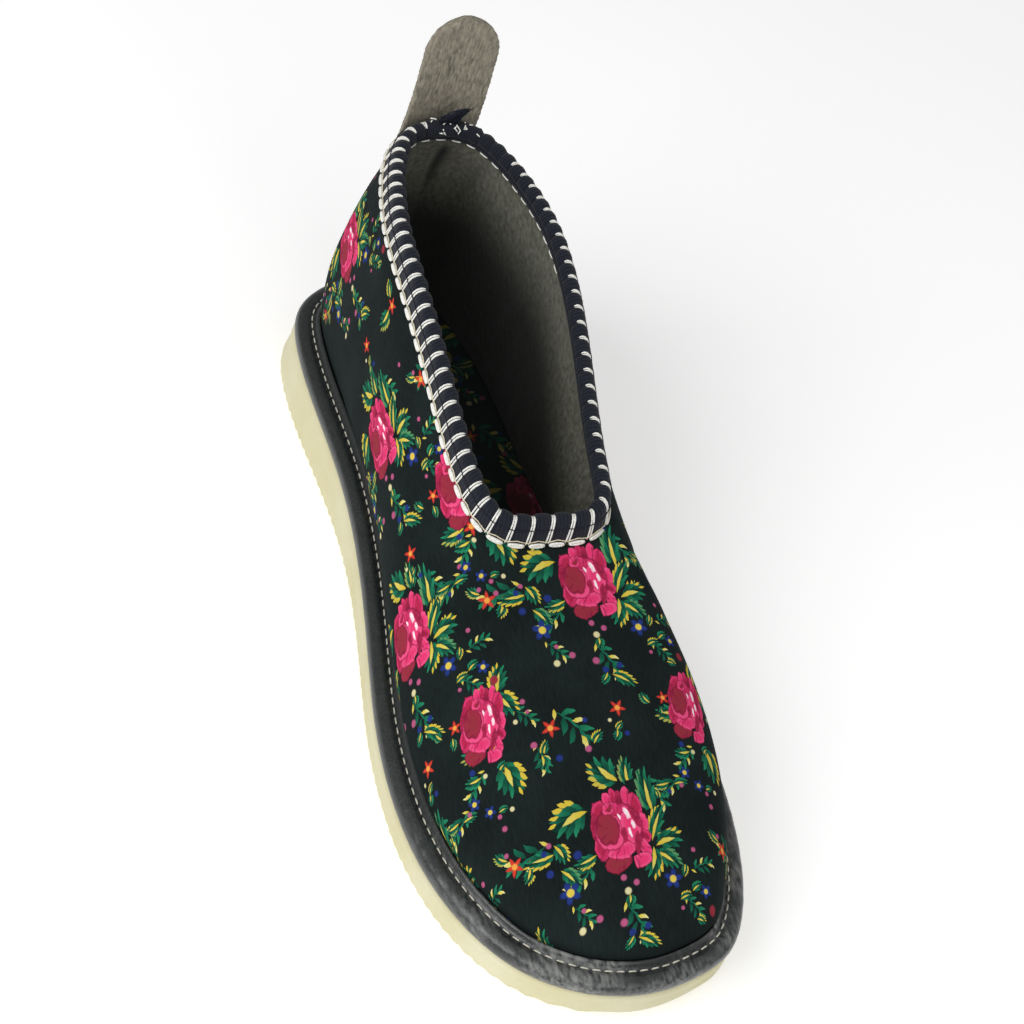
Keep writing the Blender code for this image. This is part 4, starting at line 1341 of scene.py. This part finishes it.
STRAYS, STRAY_REACH, STRAY_SWING = 18, 1.5, 30.0
STRAY_TURNS = 60.0, 160.0  # degrees up from outside, between which they start
FRAYED = 130  # yarns in the tuft, by their places round, off and past the collar
TUFT_ROOT = (-5.5, 0.5), (-0.8, 0.8), (1.4, 4.2)
TUFT_TIP = (-9.2, -7.0), (-0.4, 0.6), (10.0, 12.0)
TUFT_SAG = 1.2


def build_join():
    """Where the tape's ends lap: stray white stitches and a frayed tuft of dark yarn by the tab."""
    draw = np.random.default_rng(7)
    s = np.linspace(0, 1, 5)
    way = draw.uniform(*JOIN, STRAYS)[:, None]
    way = way + np.outer(draw.uniform(-STRAY_REACH, STRAY_REACH, STRAYS), s)
    turn = draw.uniform(*STRAY_TURNS, STRAYS)[:, None]
    turn = np.radians(turn + np.outer(draw.uniform(-STRAY_SWING, STRAY_SWING, STRAYS), s))
    sew("join_stitches", WHITE_THREAD, on_roll(way, turn, 0.12), (0.0, -0.6, 0.8), 0.21, 5)

    s = np.linspace(0, 1, 6)
    root, tip = (tape_at(*[draw.uniform(*span, FRAYED) for span in spans]) for spans in (TUFT_ROOT, TUFT_TIP))
    reach = np.outer(draw.uniform(0.45, 1.0, FRAYED), s)[..., None]
    paths = root[:, None] + (tip - root)[:, None] * reach
    paths[..., 2] += TUFT_SAG * np.sin(np.pi * s) * draw.uniform(-0.4, 1.0, FRAYED)[:, None]
    sew("tape_tuft", DARK_THREAD, paths, (0.3, -0.9, 0.2), 0.24 * (1 - 0.75 * s), 4)


def tab_place(aside, up, back):
    """Point of the finger tab: aside from its middle, up, and back from its front face."""
    across = TAB_ASIDE + aside
    along = smooth_run(TAB, 1, up) + across ** 2 / (2 * smooth_run(TAB, 2, up)) - back
    return np.stack([across, along, up], -1)


TAB_ROWS, TAB_END_ROWS, TAB_SIDES = 70, 25, 72
TAB_LAST = 89.2  # degrees of the half round, just short of a point
TAB_SQUARE = 0.55  # power that squares its section out
TAB_THINNED = 2.4  # half width under which the end grows thin too
TAB_WORN = (0.14, 0.9, 3), (0.10, 2.3, 7)  # unevenness: height, waves up it, waves across it
TAB_SEWN = np.array([(-8.2, 78.0), (8.2, 78.0), (8.2, 96.0), (-8.2, 96.0)])  # box of stitches: aside, up
TAB_STITCH, TAB_STITCH_HALF = 3.2, 1.15


def squared(wave):
    """A wave filled out towards a square one."""
    return np.sign(wave) * np.abs(wave) ** TAB_SQUARE


def build_tab():
    """Felt strip: rounded-oblong section going up the back, ending in a half round; sewn at its foot."""
    half = TAB_WIDTH / 2
    shoulder = TAB[-1, 0] - half
    turn = np.radians(np.linspace(0, TAB_LAST, TAB_END_ROWS + 1))[1:]
    up = np.append(np.linspace(TAB[0, 0], shoulder, TAB_ROWS), shoulder + half * np.sin(turn))[:, None]
    wide = np.append(np.full(TAB_ROWS, half), half * np.cos(turn))[:, None]
    around = np.linspace(0, 2 * np.pi, TAB_SIDES, endpoint=False)
    x, y = squared(np.cos(around)), squared(np.sin(around))
    back = TAB_THICK / 2 - TAB_THICK / 2 * y * np.minimum(1.0, wide / TAB_THINNED)
    worn = sum(high * np.sin(up * rise + over * x) for high, rise, over in TAB_WORN)
    aside = wide * x + 0.10 * np.sin(up * 3.1) * np.abs(x) ** 6
    grid = tab_place(aside, np.repeat(up, TAB_SIDES, 1), back + worn * 0.6)
    foot = np.arange(TAB_SIDES)[None]
    head = grid[..., 0].size - TAB_SIDES + foot[:, ::-1]
    lay("tab_felt", grid, [grid_faces(len(grid), TAB_SIDES)[:, ::-1], foot, head], TAB_FELT, "pull_tab")
    way, total = ring_way(TAB_SEWN)
    at = (np.arange(round(total / TAB_STITCH)) * TAB_STITCH)[:, None] + TAB_STITCH_HALF * STITCH
    sewn = read_ring(TAB_SEWN, way, total, at)
    paths = tab_place(sewn[..., 0], sewn[..., 1], TAB_THICK + 0.02 + 0.2 * STITCH_ARCH)
    sew("tab_stitches", DARK_THREAD, paths, (0.0, -1.0, 0.2), SEWING * STITCH_THIN)


FLOOR_HALF = 4.0  # metres, as all of the stage
FLOOR_CORNERS = [(-1, -1), (1, -1), (1, 1), (-1, 1)]
FLOOR_WHITE, FLOOR_GLOW = 0.97, 0.28
# Studio lights: place, width, watts
LIGHTS = {
    "key": ((-1.15, -0.25, 1.00), 1.0, 14.0), "front": ((-0.15, -1.25, 1.15), 1.1, 7.5),
    "right": ((1.15, -0.20, 0.95), 1.2, 2.0), "top": ((0.0, 0.1, 1.9), 1.6, 3.0)}
LIT = Vector((0, 0, 0.04))  # point that they look at
WORLD_GLOW = 0.22


def build_stage():
    """Pale floor and soft studio lights."""
    mesh = bpy.data.meshes.new("floor")
    mesh.from_pydata([(x * FLOOR_HALF, y * FLOOR_HALF, 0) for x, y in FLOOR_CORNERS], [], [(0, 1, 2, 3)])
    material, _, inputs = new_material("floor_paper", 0.9)
    inputs["Base Color"].default_value = (FLOOR_WHITE, FLOOR_WHITE, FLOOR_WHITE, 1.0)
    inputs["Emission Color"].default_value = (1.0, 1.0, 1.0, 1.0)
    inputs["Emission Strength"].default_value = FLOOR_GLOW
    mesh.materials.append(material)
    add_object("floor", mesh)
    for name, (at, wide, watts) in LIGHTS.items():
        light = bpy.data.lights.new(name, "AREA")
        light.size = wide
        light.energy = watts
        lamp = add_object(name, light)
        lamp.location = at
        lamp.rotation_euler = (LIT - Vector(at)).to_track_quat("-Z", "Y").to_euler()
    world = bpy.data.worlds.new("studio")
    world.use_nodes = True
    background = world.node_tree.nodes["Background"].inputs
    background["Color"].default_value = (1.0, 1.0, 1.0, 1.0)
    background["Strength"].default_value = WORLD_GLOW
    bpy.context.scene.world = world
    bpy.context.scene.view_settings.view_transform = "Standard"


EYE = (-225.31, 435.64, 468.38)  # across, along and up of the camera and of the point it looks at
AIM = (6.08, 116.49, 40.0)
ROLL = 21.04  # degrees
LENS, SENSOR = 69.81, 36.0


def build_camera():
    """Camera at the photograph's angle to the shoe, rolled as its frame is and aimed at the shoe's middle."""
    lens = bpy.data.cameras.new("camera")
    lens.lens = LENS
    lens.sensor_width = SENSOR
    camera = add_object("camera", lens)
    eye, aim = (Vector((a - MIDDLE[0], MIDDLE[1] - b, c)) * MM for a, b, c in (EYE, AIM))
    ahead = (aim - eye).normalized()
    right = ahead.cross(Vector((0, 0, 1))).normalized()
    up = right.cross(ahead)
    roll = np.radians(ROLL)
    right, up = right * np.cos(roll) + up * np.sin(roll), up * np.cos(roll) - right * np.sin(roll)
    turn = Matrix((right, up, -ahead)).transposed().to_4x4()
    camera.matrix_world = Matrix.Translation(eye) @ turn
    bpy.context.scene.camera = camera


for build in (build_camera, build_stage, build_upper, build_lining, build_rand, build_outsole, build_insole,
              build_tape, build_collar_threads, build_join, build_tab):
    build()
